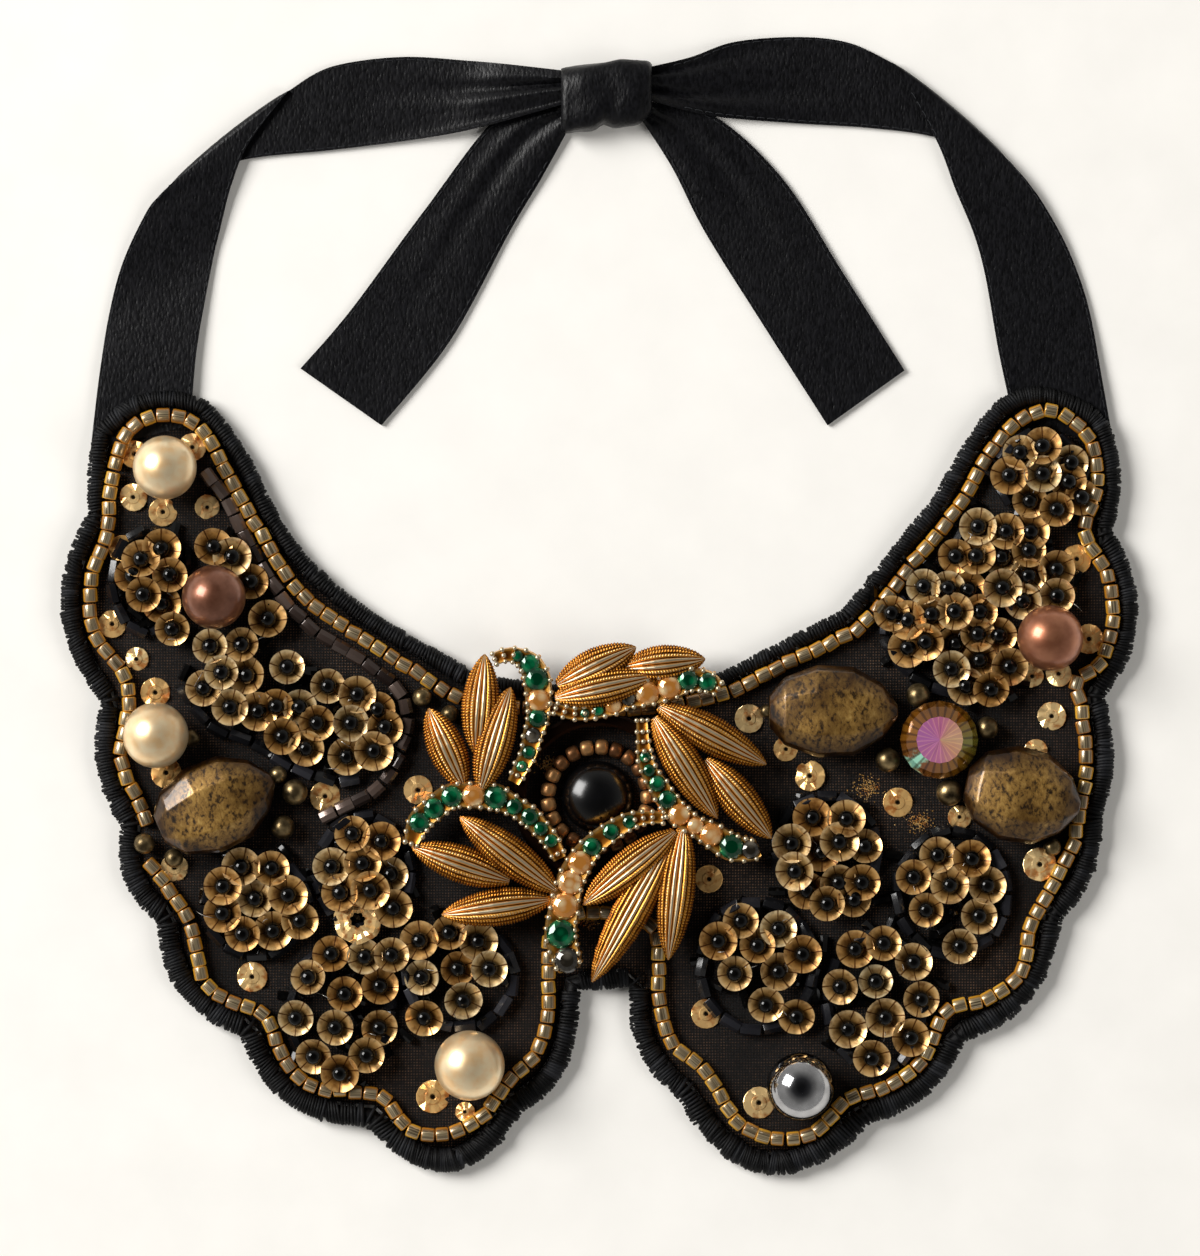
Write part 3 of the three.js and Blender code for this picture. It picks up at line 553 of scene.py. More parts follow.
# %% Whipped edge
THREAD = 0.74 * MM
TURN_PITCH = 0.7 * MM
TURN_STEPS = 9
TURN_SIDES = 6
TURN_START = -28
TURN_SWEEP = 226
LOWEST = 0.3 * MM
CORE_SIDES = 8
half_roll = ROLL_HEIGHT / 2
whipping = Heap("whipped_edge_thread")
turns = rim_points(TURN_PITCH)
print("whipped edge of", len(turns), "turns")
left_in_bundle = 0
for place, out, width in turns:
    if left_in_bundle == 0:
        left_in_bundle = dice.randint(3, 5)
        bundle_lean = dice.gauss(0.5, 0.75)
        bundle_swell = dice.gauss(0, 0.075)
        bundle_tone = dice.uniform(0.1, 0.9)
    left_in_bundle -= 1
    along = Vector((out.y, -out.x, 0))
    lean = (bundle_lean + dice.gauss(0, 0.25)) * MM
    swell = 1 + bundle_swell * 0.8 + dice.gauss(0, 0.045)
    slack = abs(dice.gauss(0, 0.05)) * MM
    path = []
    for step in range(TURN_STEPS):
        share = step / (TURN_STEPS - 1)
        angle = math.radians(TURN_START + TURN_SWEEP * step / (TURN_STEPS - 1))
        across = -width / 2 + (width / 2) * swell * math.cos(angle) + slack * math.cos(angle)
        height = half_roll + (half_roll - THREAD / 3) * swell * math.sin(angle)
        shift = along * (lean * (share - 0.5))
        path.append(place + out * across + shift + Vector((0, 0, max(height, LOWEST))))
    tone = min(1.0, max(0.0, bundle_tone + dice.gauss(0, 0.12)))
    whipping.put(bent_tube(path, THREAD / 2 * dice.uniform(0.76, 1.2), TURN_SIDES), tone=tone)
core = []
for place, out, width in rim[::2]:
    for across, up, _ in ring_of(CORE_SIDES, 1, 0, 0.5):
        inward = -width / 2 + (width / 2 - 0.35 * MM) * across
        height = half_roll + (half_roll - 0.45 * MM) * up
        core.append(tuple(place + out * inward + Vector((0, 0, height))))
whipping.put((np.array(core), skin_faces(len(core) // CORE_SIDES, CORE_SIDES, True, True)), tone=0.0)
whipping.make([cotton], "black_thread", "whipped_edge")

# %% [markdown]
# ## Glass beads of the border
# The border is of metal-lined cylinder beads: clear amber glass round a taupe-gold core. From
# above each shows a streaked metal band between two honey-coloured rims, where one looks into
# the wall of the glass. Real nested glass would cost many light bounces and come out dark, so
# the bead is one body: its depth number says where the lining shows, 0, and where the glass wall
# does, 1, and its turn number draws streaks along the bead, partly the lining's own uneven tone
# and partly painted highlights on the metal.

# %% Material: metal-lined amber glass
lined_glass, tree, shader = surface(
    "metal_lined_amber_glass", Roughness=0.32, Coat_Weight=1.0, Coat_Roughness=0.04, Coat_IOR=1.5
)
depth = number(tree, "depth")
tone = number(tree, "tone")
place_on_bead = add_node(tree, "ShaderNodeCombineXYZ", {"X": number(tree, "turn"), "Y": tone})
# Streaks along the bead: the lining's own uneven tone and painted highlights on the metal.
lining_streaks_and_glints = clouded(tree, 22.0, 3.0, place_on_bead.outputs[0])
lining = ramp(tree, lining_streaks_and_glints, [(0.34, "#4E4230"), (0.46, "#7E6E54"), (0.56, "#A39272"), (0.7, "#CFC09C")])
wall = ramp(tree, tone, [(0.0, "#A8660C"), (0.5, "#D48E18"), (1.0, "#F4B838")])
plug(
    shader, Base_Color=mixed(tree, lining, wall, depth, "MIX"), Metallic=spread(tree, depth, 0.6, 0.1)
)
bump(shader, lining_streaks_and_glints, 0.04 * MM, 0.4)

# %% [markdown]
# ## The border's beads
# The route is charted. A smooth curve through it is walked at the beads' own pitch, with
# a slight turn and shift for each bead, as hand sewing leaves them.

# %% Gold bead border
border_route = [
    (147, 861), (169, 890), (189, 922), (204, 980), (227.5, 1000), (264, 1015), (285, 1060),
    (310, 1085), (350, 1092), (382.5, 1097), (410, 1130), (450, 1133), (482.5, 1115),
    (510, 1080), (537.5, 1050), (548.5, 1010), (550, 935), (575, 915), (625, 915), (656, 935),
    (659, 999), (672.5, 1042.5), (700, 1065), (717.5, 1090), (737.5, 1122.5), (772.5, 1138),
    (812.5, 1133), (847.5, 1100), (885, 1087.5), (922.5, 1060), (946, 1012), (985, 1000),
    (1021, 972.5), (1030, 927.5), (1052, 886), (1073, 845), (1080, 811), (1086, 760),
    (1081, 705), (1077.5, 681), (1102, 660), (1113, 615), (1105, 570), (1085, 530),
    (1097, 485), (1090, 440), (1065, 416), (1040, 411), (1012, 426), (985, 460), (960, 505),
    (910, 567.5), (864, 623), (829, 643), (780, 667), (725, 693), (650, 707.5), (550, 709),
    (465, 700), (415, 671.5), (360, 636), (300, 592.5), (257.5, 527.5), (227, 473), (207, 437),
    (184, 418), (150, 417), (124, 438), (110, 492.5), (107.5, 532.5), (91, 580), (94, 632.5),
    (126, 680), (126, 725), (121, 760), (141, 807.5), (149, 825),
]

BORDER_BEAD = 3.0 * MM
BORDER_LENGTH = 2.95 * MM
BORDER_PITCH = 3.15 * MM
lined_bead = tube_bead(BORDER_LENGTH, BORDER_BEAD / 2, 0.5 * MM, 0.35 * MM, 24)
around, _ = polar(lined_bead[0])
wall_at_ends = np.clip((np.abs(lined_bead[0][:, 2]) / (BORDER_LENGTH / 2) - 0.78) / 0.18, 0, 1)
wall_at_sides = np.clip((0.78 - np.abs(np.cos(around - math.pi / 2))) / 0.2, 0, 1)
wall_share = np.maximum(wall_at_ends, wall_at_sides)
border = Heap("gold_lined_border")
for place, along in walked(border_route, BORDER_PITCH, height=CLOTH_TOP + BORDER_BEAD / 2):
    wobble = jitter(0.06, 0.06, 0.04)
    shifted = place + wobble * MM * 1.4
    size = Matrix.Diagonal((1, 1, dice.uniform(0.9, 1.04), 1))
    matrix = aimed(shifted, (along + wobble).normalized()) @ size
    border.put(lined_bead, matrix, depth=wall_share, turn=np.abs(around) / math.pi)
border.make([lined_glass], "gold_lined_glass", "gold_bead_border", edges=38)

# %% [markdown]
# ## Bugle glass
# Bugle beads are cut lengths of drawn glass cane. The cane is hexagonal, so each shows long flat
# faces with bright lines between them, and broken ends with a dark bore. The black ones are
# opaque and satin, the brown ones have a warm cast from a metal lining.

# %% Materials: black and brown bugle glass
black_glass, tree, shader = surface("black_cane_glass", Roughness=0.2, IOR=1.52)
cane = ramp(tree, number(tree, "tone"), [(0.0, "#09090A"), (0.7, "#18181B"), (1.0, "#2C2C31")])
scratches = clouded(tree, 1800.0)
plug(shader, Base_Color=cane, Roughness=spread(tree, scratches, 0.12, 0.3))
bump(shader, scratches, 0.03 * MM, 0.5)
brown_glass, tree, shader = surface(
    "brown_cane_glass", Roughness=0.25, IOR=1.52, Coat_Weight=0.5, Metallic=0.5
)
cane = ramp(tree, number(tree, "tone"), [(0.0, "#2C2320"), (0.6, "#52443D"), (1.0, "#7E6C62")])
plug(shader, Base_Color=cane)
bump(shader, clouded(tree, 1300.0, 3.0), 0.03 * MM, 0.5)

# %% [markdown]
# ## Where the cups stand
# The middle of each cup is charted from the photo, cluster by cluster. Where two charted middles
# lie nearly on each other, they are pushed apart a little, since real cups can't share a stitch.

# %% Chart of the cups
cup_fields = {
    "01": [(161, 549), (142, 562), (170, 575), (136, 581), (142, 590), (162, 603), (173, 627)],
    "02": [(242, 868), (271, 870), (224, 886), (256, 900), (288, 895), (224, 913), (244, 933),
           (273, 930), (299, 920)],
    "03": [(354, 835), (382, 842), (333, 867), (363, 865), (390, 875), (342, 893), (371, 889),
           (392, 907)],
    "04": [(332, 956), (365, 958), (310, 978), (345, 995), (379, 987), (297, 1017), (336, 1026),
           (378, 1026), (315, 1054), (341, 1071), (366, 1054), (391, 956)],
    "05": [(421, 941), (449, 934), (477, 941), (424, 977), (456, 968), (489, 968), (462, 998),
           (425, 1015)],
    "06": [(1021, 454), (1043, 448), (1070, 462), (1010, 476), (1042, 476), (1068, 482),
           (1030, 500), (1078, 496), (1056, 509)],
    "07": [(979, 527), (1006, 532), (1030, 534), (957, 555), (977, 558), (1002, 558),
           (1027, 550), (1027, 575), (1002, 586), (1054, 568), (1024, 599), (1056, 595)],
    "08": [(925, 587), (950, 589), (964, 591), (893, 614), (909, 620), (931, 616), (955, 612),
           (979, 612), (911, 647), (925, 641), (955, 641), (975, 635), (998, 635), (978, 659),
           (951, 668), (1007, 666), (965, 685), (990, 687)],
    "09": [(813, 819), (846, 821), (793, 843), (826, 850), (834, 845), (864, 848), (797, 870),
           (837, 880), (861, 882), (807, 889), (852, 898), (826, 902)],
    "10": [(938, 856), (971, 860), (914, 877), (950, 886), (986, 885), (927, 909), (978, 916),
           (959, 945)],
    "11": [(855, 950), (883, 944), (912, 963), (842, 985), (876, 983), (920, 998), (884, 1016),
           (847, 1028), (909, 1037), (872, 1056)],
    "12": [(741, 922), (778, 930), (719, 941), (758, 947), (802, 954), (736, 973), (776, 971),
           (766, 1003), (796, 1014)],
    "13": [(213, 549), (233, 557), (251, 582), (268, 621), (211, 647), (243, 646), (223, 673),
           (249, 675), (287, 669), (205, 689), (231, 707), (260, 710), (275, 706), (298, 706),
           (327, 686), (357, 694), (377, 709), (317, 722), (349, 723), (384, 727), (281, 735),
           (306, 747), (346, 756), (373, 750)],
}


def spaced_out(cups, gap):
    """Push charted middles apart until none are closer than a gap in pixels."""
    moved = [list(cup) for cup in cups]
    for _ in range(12):
        for i in range(len(moved)):
            for j in range(i):
                dx, dy = moved[i][0] - moved[j][0], moved[i][1] - moved[j][1]
                far = math.hypot(dx, dy) or 1.0
                if far < gap:
                    push = (gap - far) / 2 / far
                    moved[i][0] += dx * push
                    moved[i][1] += dy * push
                    moved[j][0] -= dx * push
                    moved[j][1] -= dy * push
    return moved


CUP_GAP = 19
cup_places = {label: spaced_out(cups, CUP_GAP) for label, cups in cup_fields.items()}
cup_middles = [spot(x, y).xy for cups in cup_places.values() for x, y in cups]
print(len(cup_middles), "cups charted")

# %% [markdown]
# ## Bugle outlines
# Every cluster of sequins is ringed with black bugles sewn end to end. Each ring is an ellipse in
# the chart, walked at the bead's length. A bugle that a cup covers is pressed into the cloth.
# Long bugles on a tight curve leave small wedges at their ends, which the real ones do too.

# %% Bugle rings
BUGLE_PITCH = 4.75 * MM
BUGLE_RADIUS = 1.2 * MM
BUGLE_HEIGHT = CLOTH_TOP + BUGLE_RADIUS + 0.2 * MM
UNDER_CUP = 3.2 * MM
PRESSED_IN = 1.1 * MM
bugle_shape = tube_bead(4.5 * MM, BUGLE_RADIUS * 1.06, 0.4 * MM, 0.18 * MM, 6)
cluster_rings = [
    ("01", 148, 582, 35, 50, 0), ("02", 256, 905, 50, 50, 0), ("03", 364, 872, 46, 55, 0),
    ("04", 340, 1011, 50, 65, 0), ("05", 460, 975, 53, 52, 0), ("06", 1040, 474, 42, 40, 0),
    ("07", 1006, 564, 54, 38, -28), ("08", 942, 646, 62, 40, -32), ("09", 826, 850, 50, 54, 0),
    ("10", 952, 893, 54, 62, 0), ("11", 876, 1002, 48, 66, 0), ("12", 757, 966, 57, 64, 0),
]


def ellipse(x, y, across, up, turn):
    """Charted pixels round an ellipse, turned by degrees as seen."""
    swing = math.radians(-turn)
    found = []
    for cosine, sine, _ in ring_of(24, 1, 0):
        u, v = across * cosine, up * sine
        found.append((x + u * math.cos(swing) - v * math.sin(swing),
                      y + u * math.sin(swing) + v * math.cos(swing)))
    return found


def lay_bugles(name, route, closed, shape, pitch, height, *finish):
    row = Heap(name)
    for place, along in walked(route, pitch, closed, height):
        wobble = jitter(0.07, 0.07, 0.05)
        place = place + wobble * 1.5 * MM + Vector((0, 0, abs(dice.gauss(0, 0.15)) * MM))
        size = Matrix.Diagonal((1, 1, dice.uniform(0.86, 1.03), 1))
        if min((place.xy - middle).length for middle in cup_middles) < UNDER_CUP:
            place.z -= PRESSED_IN
        row.put(shape, aimed(place, along + wobble, roll=dice.uniform(0, 6)) @ size)
    row.make(*finish)


for label, *chart in cluster_rings:
    lay_bugles(f"black_bugles_{label}", ellipse(*chart), True, bugle_shape, BUGLE_PITCH,
               BUGLE_HEIGHT, [black_glass], "black_glass", f"bugle_ring_{label}", 30)

# %% Bugle rows beside the long cluster
dark_route = [
    (204, 470), (225, 497.5), (245, 535), (270, 580), (292.5, 610), (322.5, 636), (365, 662.5),
    (397.5, 690), (408, 717.5), (405, 740), (395, 765), (375, 790), (347.5, 805), (320, 818),
]
lower_route = [
    (180, 685), (196, 710), (216, 729), (240, 737.5), (262.5, 749), (282.5, 762.5), (315, 775),
    (342.5, 781), (360, 777.5),
]
brown_shape = tube_bead(3.7 * MM, 1.45 * MM, 0.4 * MM, 0.22 * MM, 8)
lay_bugles("brown_bugle_row", dark_route, False, brown_shape, 3.8 * MM, CLOTH_TOP + 1.5 * MM,
           [brown_glass], "brown_glass", "dark_bugle_row", 35)
lay_bugles("black_bugle_line", lower_route, False, bugle_shape, BUGLE_PITCH, BUGLE_HEIGHT,
           [black_glass], "black_glass", "black_bugle_row", 30)

# %% [markdown]
# ## Gold film
# A cup sequin is punched from film with a gold mirror coat, then pressed into a cone. The press
# leaves radial creases, drawn as thin dark lines of painted shade, and handling dulls the coat in
# patches. Each cup is painted near black at its middle, a painted shadow and reflection of its
# black bead, and pale at its rim, a painted highlight. The shader mixes three golds by each
# sequin's tone and adds fine scuffs.

# %% Materials: gold sequin film and black glass
CREASES = 7
sequin_film, tree, shader = surface("gold_sequin_film", Metallic=0.6)
scuffs = clouded(tree, 700.0, 4.0)
film_tone = ramp(tree, number(tree, "tone"), [(0.0, "#D8A662"), (0.5, "#F2C684"), (1.0, "#FFE6B4")])
film_wear = ramp(tree, scuffs, [(0.3, "#8E6C42"), (0.55, "#FFFFFF")])
# Painted shade and highlight: near black at the middle under the bead, pale at the rim.
painted_cup_shade_and_rim_light = ramp(
    tree, number(tree, "depth"),
    [(0.0, "#0B0603"), (0.34, "#24180D"), (0.54, "#A08C6A"), (0.78, "#E8DAC0"), (0.93, "#FFFFFF")],
)
way_round = calculated(tree, "MULTIPLY", number(tree, "turn"), 2 * math.pi * CREASES)
# Painted shade: thin dark lines along the radial creases.
painted_crease_shade = ramp(
    tree, calculated(tree, "SINE", way_round), [(0.0, "#FFFFFF"), (0.9, "#FFFFFF"), (0.99, "#7A5A34")]
)
worn_film = mixed(tree, film_tone, film_wear, 0.75)
plug(
    shader, Base_Color=mixed(tree, worn_film, mixed(tree, painted_cup_shade_and_rim_light, painted_crease_shade)),
    Roughness=spread(tree, scuffs, 0.24, 0.42),
)
bump(shader, scuffs, 0.03 * MM, 0.5)
jet_glass, tree, shader = surface("jet_black_glass", Roughness=0.09, Specular_IOR_Level=0.35)
pits = clouded(tree, 900.0)
plug(shader, Base_Color=ramp(tree, pits, [(0.3, "#020202"), (0.7, "#0A0908")]))
bump(shader, pits, 0.02 * MM, 0.4)

# %% [markdown]
# ## Cup sequins
# A cup is a shallow cone, 8 mm across, held by a thread through a round black bead. It is turned
# from a thin double profile, with a wave round the rim for the creases. Cups overlap, so each
# takes the lowest level that none of its neighbours has, as fish scales would be sewn. Short
# black bugles lie loose under the cups and close the gaps between them.

# %% Cup sequin fields
CUP_RADIUS = 4.1 * MM
CUP_HOLE = 0.25 * MM
CUP_DEPTH = 1.9 * MM
CUP_FOOT = 1.8 * MM
CUP_FILM = 0.12 * MM
LEVEL = 0.6 * MM
CUP_NEAR = 34
CUP_KINDS = 6
GAP_REACH = 22
GAP_ROOM = 14


def cup_shape(seed):
    creases = random.Random(seed)
    phase = [creases.uniform(0, 6.28) for _ in range(3)]
    share = [0.0, 0.2, 0.42, 0.62, 0.8, 0.95, 1.0]
    up = [(CUP_HOLE + (CUP_RADIUS - CUP_HOLE) * s, CUP_DEPTH * s**1.25 + CUP_FILM) for s in share]
    down = [(r + 0.02 * MM, z - CUP_FILM) for r, z in reversed(up)]
    points, faces = turned(up + down, 32, closed=True)
    angle, reach = polar(points)
    fold = (0.5 * np.sin(8 * angle + phase[0]) + 0.3 * np.sin(5 * angle + phase[1])
            + 0.35 * np.sin(3 * angle + phase[2]))
    points[:, 2] += fold * (reach / CUP_RADIUS) ** 2 * 0.2 * MM
    return points, faces


def fill_gap(field, x, y, cups):
    """A short bugle in the emptiest of eight places near a cup, where there is room."""
    steps = [(dice.uniform(-GAP_REACH, GAP_REACH), dice.uniform(-GAP_REACH, GAP_REACH)) for _ in range(8)]
    tries = [(x + dx, y + dy) for dx, dy in steps]
    room, gap = max((min(math.dist(trial, cup) for cup in cups), trial) for trial in tries)
    if room > GAP_ROOM:
        under = spot(*gap, CLOTH_TOP + dice.uniform(1.0, 1.3) * MM)
        heading = jitter(1, 1, 0.12)
        field.put(short_bugle, aimed(under, heading, roll=dice.uniform(0, 6)), 1)


cup_shapes = [cup_shape(seed) for seed in range(CUP_KINDS)]
jet_bead = ball(1.85 * MM, 20)
bead_in_cup = Matrix.Translation((0, 0, 1.6 * MM))
short_bugle = tube_bead(3.6 * MM, 1.0 * MM, 0.4 * MM, 0.18 * MM, 6)
for label, cups in cup_places.items():
    field = Heap(f"cup_sequins_{label}")
    middle_x = sum(c[0] for c in cups) / len(cups)
    middle_y = sum(c[1] for c in cups) / len(cups)
    levels = []
    for i, (x, y) in enumerate(cups):
        near = {levels[j] for j in range(i) if math.dist((x, y), cups[j]) < CUP_NEAR}
        levels.append(min(level for level in range(9) if level not in near))
        outward = math.atan2(-(y - middle_y), x - middle_x)
        lean = math.radians(dice.uniform(3, 19))
        height = CLOTH_TOP + CUP_FOOT + LEVEL * levels[-1]
        matrix = leaning(spot(x, y, height), lean, outward + dice.gauss(0, 0.5), dice.uniform(0, 6))
        size = Matrix.Scale(dice.uniform(0.88, 1.02), 4)
        shape = cup_shapes[dice.randrange(CUP_KINDS)]
        angle, reach = polar(shape[0])
        way_round = angle / (2 * math.pi) + 0.5
        field.put(shape, matrix @ size, depth=reach / CUP_RADIUS, turn=way_round)
        field.put(jet_bead, matrix @ bead_in_cup, 1)
        fill_gap(field, x, y, cups)
    field.make([sequin_film, jet_glass], "gold_sequin", f"cup_cluster_{label}", edges=40)

# %% [markdown]
# ## Loose nylon threads
# The cups are sewn with clear nylon that catches the light as short silvery lines wherever a
# stitch rises between two cups. Each line here is a bent tube of 0.14 mm thread over a charted
# field, at the height of the cups' rims, coloured pale silvery grey though the thread is clear:
# a painted glint.

# %% Nylon threads
nylon, tree, shader = surface("clear_nylon_thread", Roughness=0.25, Metallic=0.5)
# Painted glint: the clear thread is given a pale silvery colour.
plug(shader, Base_Color=ramp(tree, clouded(tree, 900.0), [(0.4, "#5A5650"), (0.65, "#E6E2DA")]))
NYLON_RADIUS = 0.07 * MM
NYLON_SHARE = 0.55
NYLON_REACH = 16
NYLON_HEIGHT = CLOTH_TOP + 2.6 * MM
threads = Heap("nylon_threads")
for x, y in (cup for cups in cup_fields.values() for cup in cups):
    if dice.random() < NYLON_SHARE:
        dx, dy = dice.uniform(-NYLON_REACH, NYLON_REACH), dice.uniform(-NYLON_REACH, NYLON_REACH)
        start = spot(x + dx, y + dy, NYLON_HEIGHT)
        heading = Vector((dice.gauss(0, 1), dice.gauss(0, 1), 0)).normalized()
        bow = Vector((-heading.y, heading.x, 0)) * dice.gauss(0, 0.5) * MM
        length = dice.uniform(1.6, 4.2) * MM
        path = []
        for k in range(5):
            arch = math.sin(math.pi * k / 4)
            rise = Vector((0, 0, 1.3 * MM * arch))
            path.append(start + heading * (length * k / 4) + bow * arch + rise)
        threads.put(bent_tube(path, NYLON_RADIUS, 4))
threads.make([nylon], "black_thread")

# %% [markdown]
# ## Flat sequins
# Loose between the clusters lie flat faceted sequins, 6 mm across, each pressed into sixteen
# narrow panes like an umbrella's, with a small dark knot in its hole. One is a larger crumpled
# disc with a torn middle, in the left half.

# %% Material: pale gold film of the flat sequins
flat_film, tree, shader = surface("pale_gold_flat_film", Metallic=0.55, Roughness=0.2)
flat_tone = ramp(tree, number(tree, "tone"), [(0.6, "#F2B45C"), (1.0, "#FFDFA2")])
flat_wear = ramp(tree, clouded(tree, 520.0, 3.0), [(0.34, "#B87C3A"), (0.5, "#FFFFFF")])
plug(shader, Base_Color=mixed(tree, flat_tone, flat_wear, 0.8))

# %% Flat sequins
flat_sequins = [
    (134, 454, 14), (192, 447, 14), (133, 497, 14), (162.5, 512, 14.5), (207, 507, 12.5),
    (122, 549, 14), (112, 624, 14), (136.5, 659, 12), (155, 692.5, 15), (166, 773, 15.5),
    (162, 810, 8), (174, 868, 14), (325, 796.5, 15.5), (418, 790, 14.7), (252, 977, 15.3),
    (432.5, 1097, 16.7), (465, 1112, 10), (706, 1014, 15), (759, 1103, 16), (709, 879, 14),
    (749, 718.6, 14.5), (786, 749, 12.5), (810, 776, 15.5), (898, 802.5, 15),
    (1052, 716, 14.5), (1036, 751, 12), (960, 817, 12), (1040, 864.5, 17), (1077, 559, 15),
    (1089, 639, 15), (1032, 676, 12), (1059, 674, 13),
]
PANES = 16


def pressed_disc(radius, profile, sides, film):
    """A thin disc with a hole; also each point's angle and its share of the way out."""
    top = [(radius * r, h * MM + film) for r, h in profile]
    base = [(radius * r, h * MM) for r, h in reversed(profile)]
    points, faces = turned(top + base, sides, closed=True)
    angle, reach = polar(points)
    return points, faces, angle, reach / radius


def flat_sequin(radius, seed):
    """The edges between the panes are lifted or lowered, so that no two panes shine alike."""
    chance = random.Random(seed)
    profile = [(0.15, 0.3), (0.22, 0.5), (0.44, 0.42), (0.5, 0.24), (0.96, 0.08), (1.0, 0.0)]
    points, faces, angle, reach = pressed_disc(radius, profile, PANES, 0.1 * MM)
    lift = np.array([chance.uniform(-1, 1) for _ in range(PANES)])
    index = np.round(angle / (2 * math.pi / PANES)).astype(int) % PANES
    points[:, 2] += lift[index] * reach**2 * 0.5 * MM
    return points, faces


flats = Heap("flat_sequins")
for i, (x, y, radius) in enumerate(flat_sequins):
    shape = flat_sequin(radius * PIXEL, i)
    place = spot(x, y, CLOTH_TOP + 0.35 * MM)
    matrix = strewn(place, 2, 9)
    flats.put(shape, matrix, tone=dice.uniform(0.7, 1.0))
    flats.put(ball(0.42 * MM, 10), matrix @ Matrix.Translation((0, 0, 0.35 * MM)), 1)
flats.make([flat_film, jet_glass], "gold_sequin", smooth=False)

# %% [markdown]
# ## Rubbed gold dust
# In four places gold dust is rubbed into the mesh. Each patch is a scatter of tiny flakes that
# lie nearly flat on the cloth, densest in the middle.

# %% Gold dust
gold_dust = [(867.5, 788, 13), (920, 822, 10), (548, 765, 9), (589, 919, 9)]
FLAKE = 0.12 * MM
FLAKES = 170
flake_outline = np.array([(-1, -0.6, 0), (0.9, -0.8, 0), (0.7, 0.9, 0), (-0.8, 0.6, 0)])
flake_shape = (flake_outline * FLAKE, [(0, 1, 2, 3)])
dust = Heap("rubbed_gold_dust")
for x, y, spread_out in [patch for patch in gold_dust for _ in range(FLAKES)]:
    place = spot(x + dice.gauss(0, spread_out * 0.6), y + dice.gauss(0, spread_out * 0.45))
    place.z = CLOTH_TOP + 0.12 * MM
    matrix = strewn(place, 0, 18)
    dust.put(flake_shape, matrix, tone=dice.uniform(0.5, 0.9))
dust.make([flat_film], "gold_sequin", smooth=False)

# %% The crumpled disc
disc_place = spot(358, 920, CLOTH_TOP + 2.6 * MM)
profile = [(0.3, 0.1), (0.42, 0.9), (0.6, 0.5), (0.8, 0.7), (1.0, 0.2)]
points, faces, angle, reach = pressed_disc(24 * PIXEL, profile, 28, 0.15 * MM)
points[:, 2] += (np.sin(5 * angle + 1) + 0.8 * np.sin(9 * angle + 2.2)) * reach * 0.45 * MM
points[:, :2] *= (1 + 0.07 * np.sin(7 * angle) * (1.2 - reach) * 2)[:, None]
disc = Heap("crumpled_disc")
disc.put((points, faces), leaning(disc_place, 0.12, 2.0), tone=0.9)
disc.make([flat_film], "gold_sequin", smooth=False)

# %% [markdown]
# ## Pearl coat
# A glass bead dipped many times in pearl essence is partly a mirror: it shows a soft image of
# the window, and near its rim the dark cloth and the gold round it, which makes the rim deeper
# and warmer. So the coat is mostly metallic with a blurred gloss, under a thin glossier coat.
# Faint clouds of a few millimetres come from uneven dipping. The steel bead is a grey mirror.


# %% Materials: pearls
def pearl_coat(name, pale, deep, metallic):
    material, tree, shader = surface(
        name, Roughness=0.36, Coat_Weight=0.5, Coat_Roughness=0.14, Metallic=metallic
    )
    plug(shader, Base_Color=ramp(tree, clouded(tree, 300.0, 3.0), [(0.35, deep), (0.6, pale)]))
    bump(shader, clouded(tree, 1500.0), 0.01 * MM, 0.3)
    return material


cream_pearl = pearl_coat("cream_pearl_coat", "#FFE8BE", "#FCD49C", 0.7)
brown_pearl = pearl_coat("brown_pearl_coat", "#8E5E48", "#744834", 0.76)
copper_pearl = pearl_coat("copper_pearl_coat", "#B27656", "#9A6044", 0.76)
steel, tree, shader = surface("polished_steel", Roughness=0.12, Metallic=1.0)
shader.inputs["Specular Tint"].default_value = (0.3, 0.3, 0.3, 1)
plug(shader, Base_Color=ramp(tree, clouded(tree, 300.0, 3.0), [(0.3, "#A6A6A8"), (0.7, "#CCCCCE")]))


# %% Pearls
def round_bead(name, material, slot, sides):
    """A round bead in the box of its solid."""
    low_corner, high_corner = (Vector(corner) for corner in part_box(name))
    bead = Heap(f"{name}_round")
    size = (high_corner.z - low_corner.z) / 2
    bead.put(ball(size, sides), Matrix.Translation((low_corner + high_corner) / 2))
    bead.make([material], slot, name)


for i in (1, 2, 3):
    round_bead(f"cream_pearl_{i}", cream_pearl, "cream_pearl", 64)
round_bead("brown_pearl_1", brown_pearl, "brown_pearl", 64)
round_bead("brown_pearl_2", copper_pearl, "brown_pearl", 64)
round_bead("steel_pearl", steel, "mirror_bead", 64)

# %% [markdown]
# ## Antique gold beads
# The small round beads are plated, blackened and rubbed back, so their colour is a dark
# khaki-gold with brighter worn patches and fine pits.

# %% Material and beads: antique gold
antique, tree, shader = surface("rubbed_antique_gold", Roughness=0.34, Metallic=0.9)
wear = clouded(tree, 420.0, 5.0)
plug(shader, Base_Color=ramp(tree, wear, [(0.3, "#3A3020"), (0.5, "#7A6848"), (0.72, "#C2A878")]))
bump(shader, wear, 0.05 * MM, 0.5)
for name in [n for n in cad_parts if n.startswith("antique_bead_")]:
    round_bead(name, antique, "antique_gold", 32)
little = Heap("little_antique_beads")
for x, y, across in ((278, 775, 9), (766, 711, 6.5), (450, 714, 9)):
    little.put(ball(across * PIXEL, 28), Matrix.Translation(spot(x, y, CLOTH_TOP + across * PIXEL)))
little.make([antique], "antique_gold")
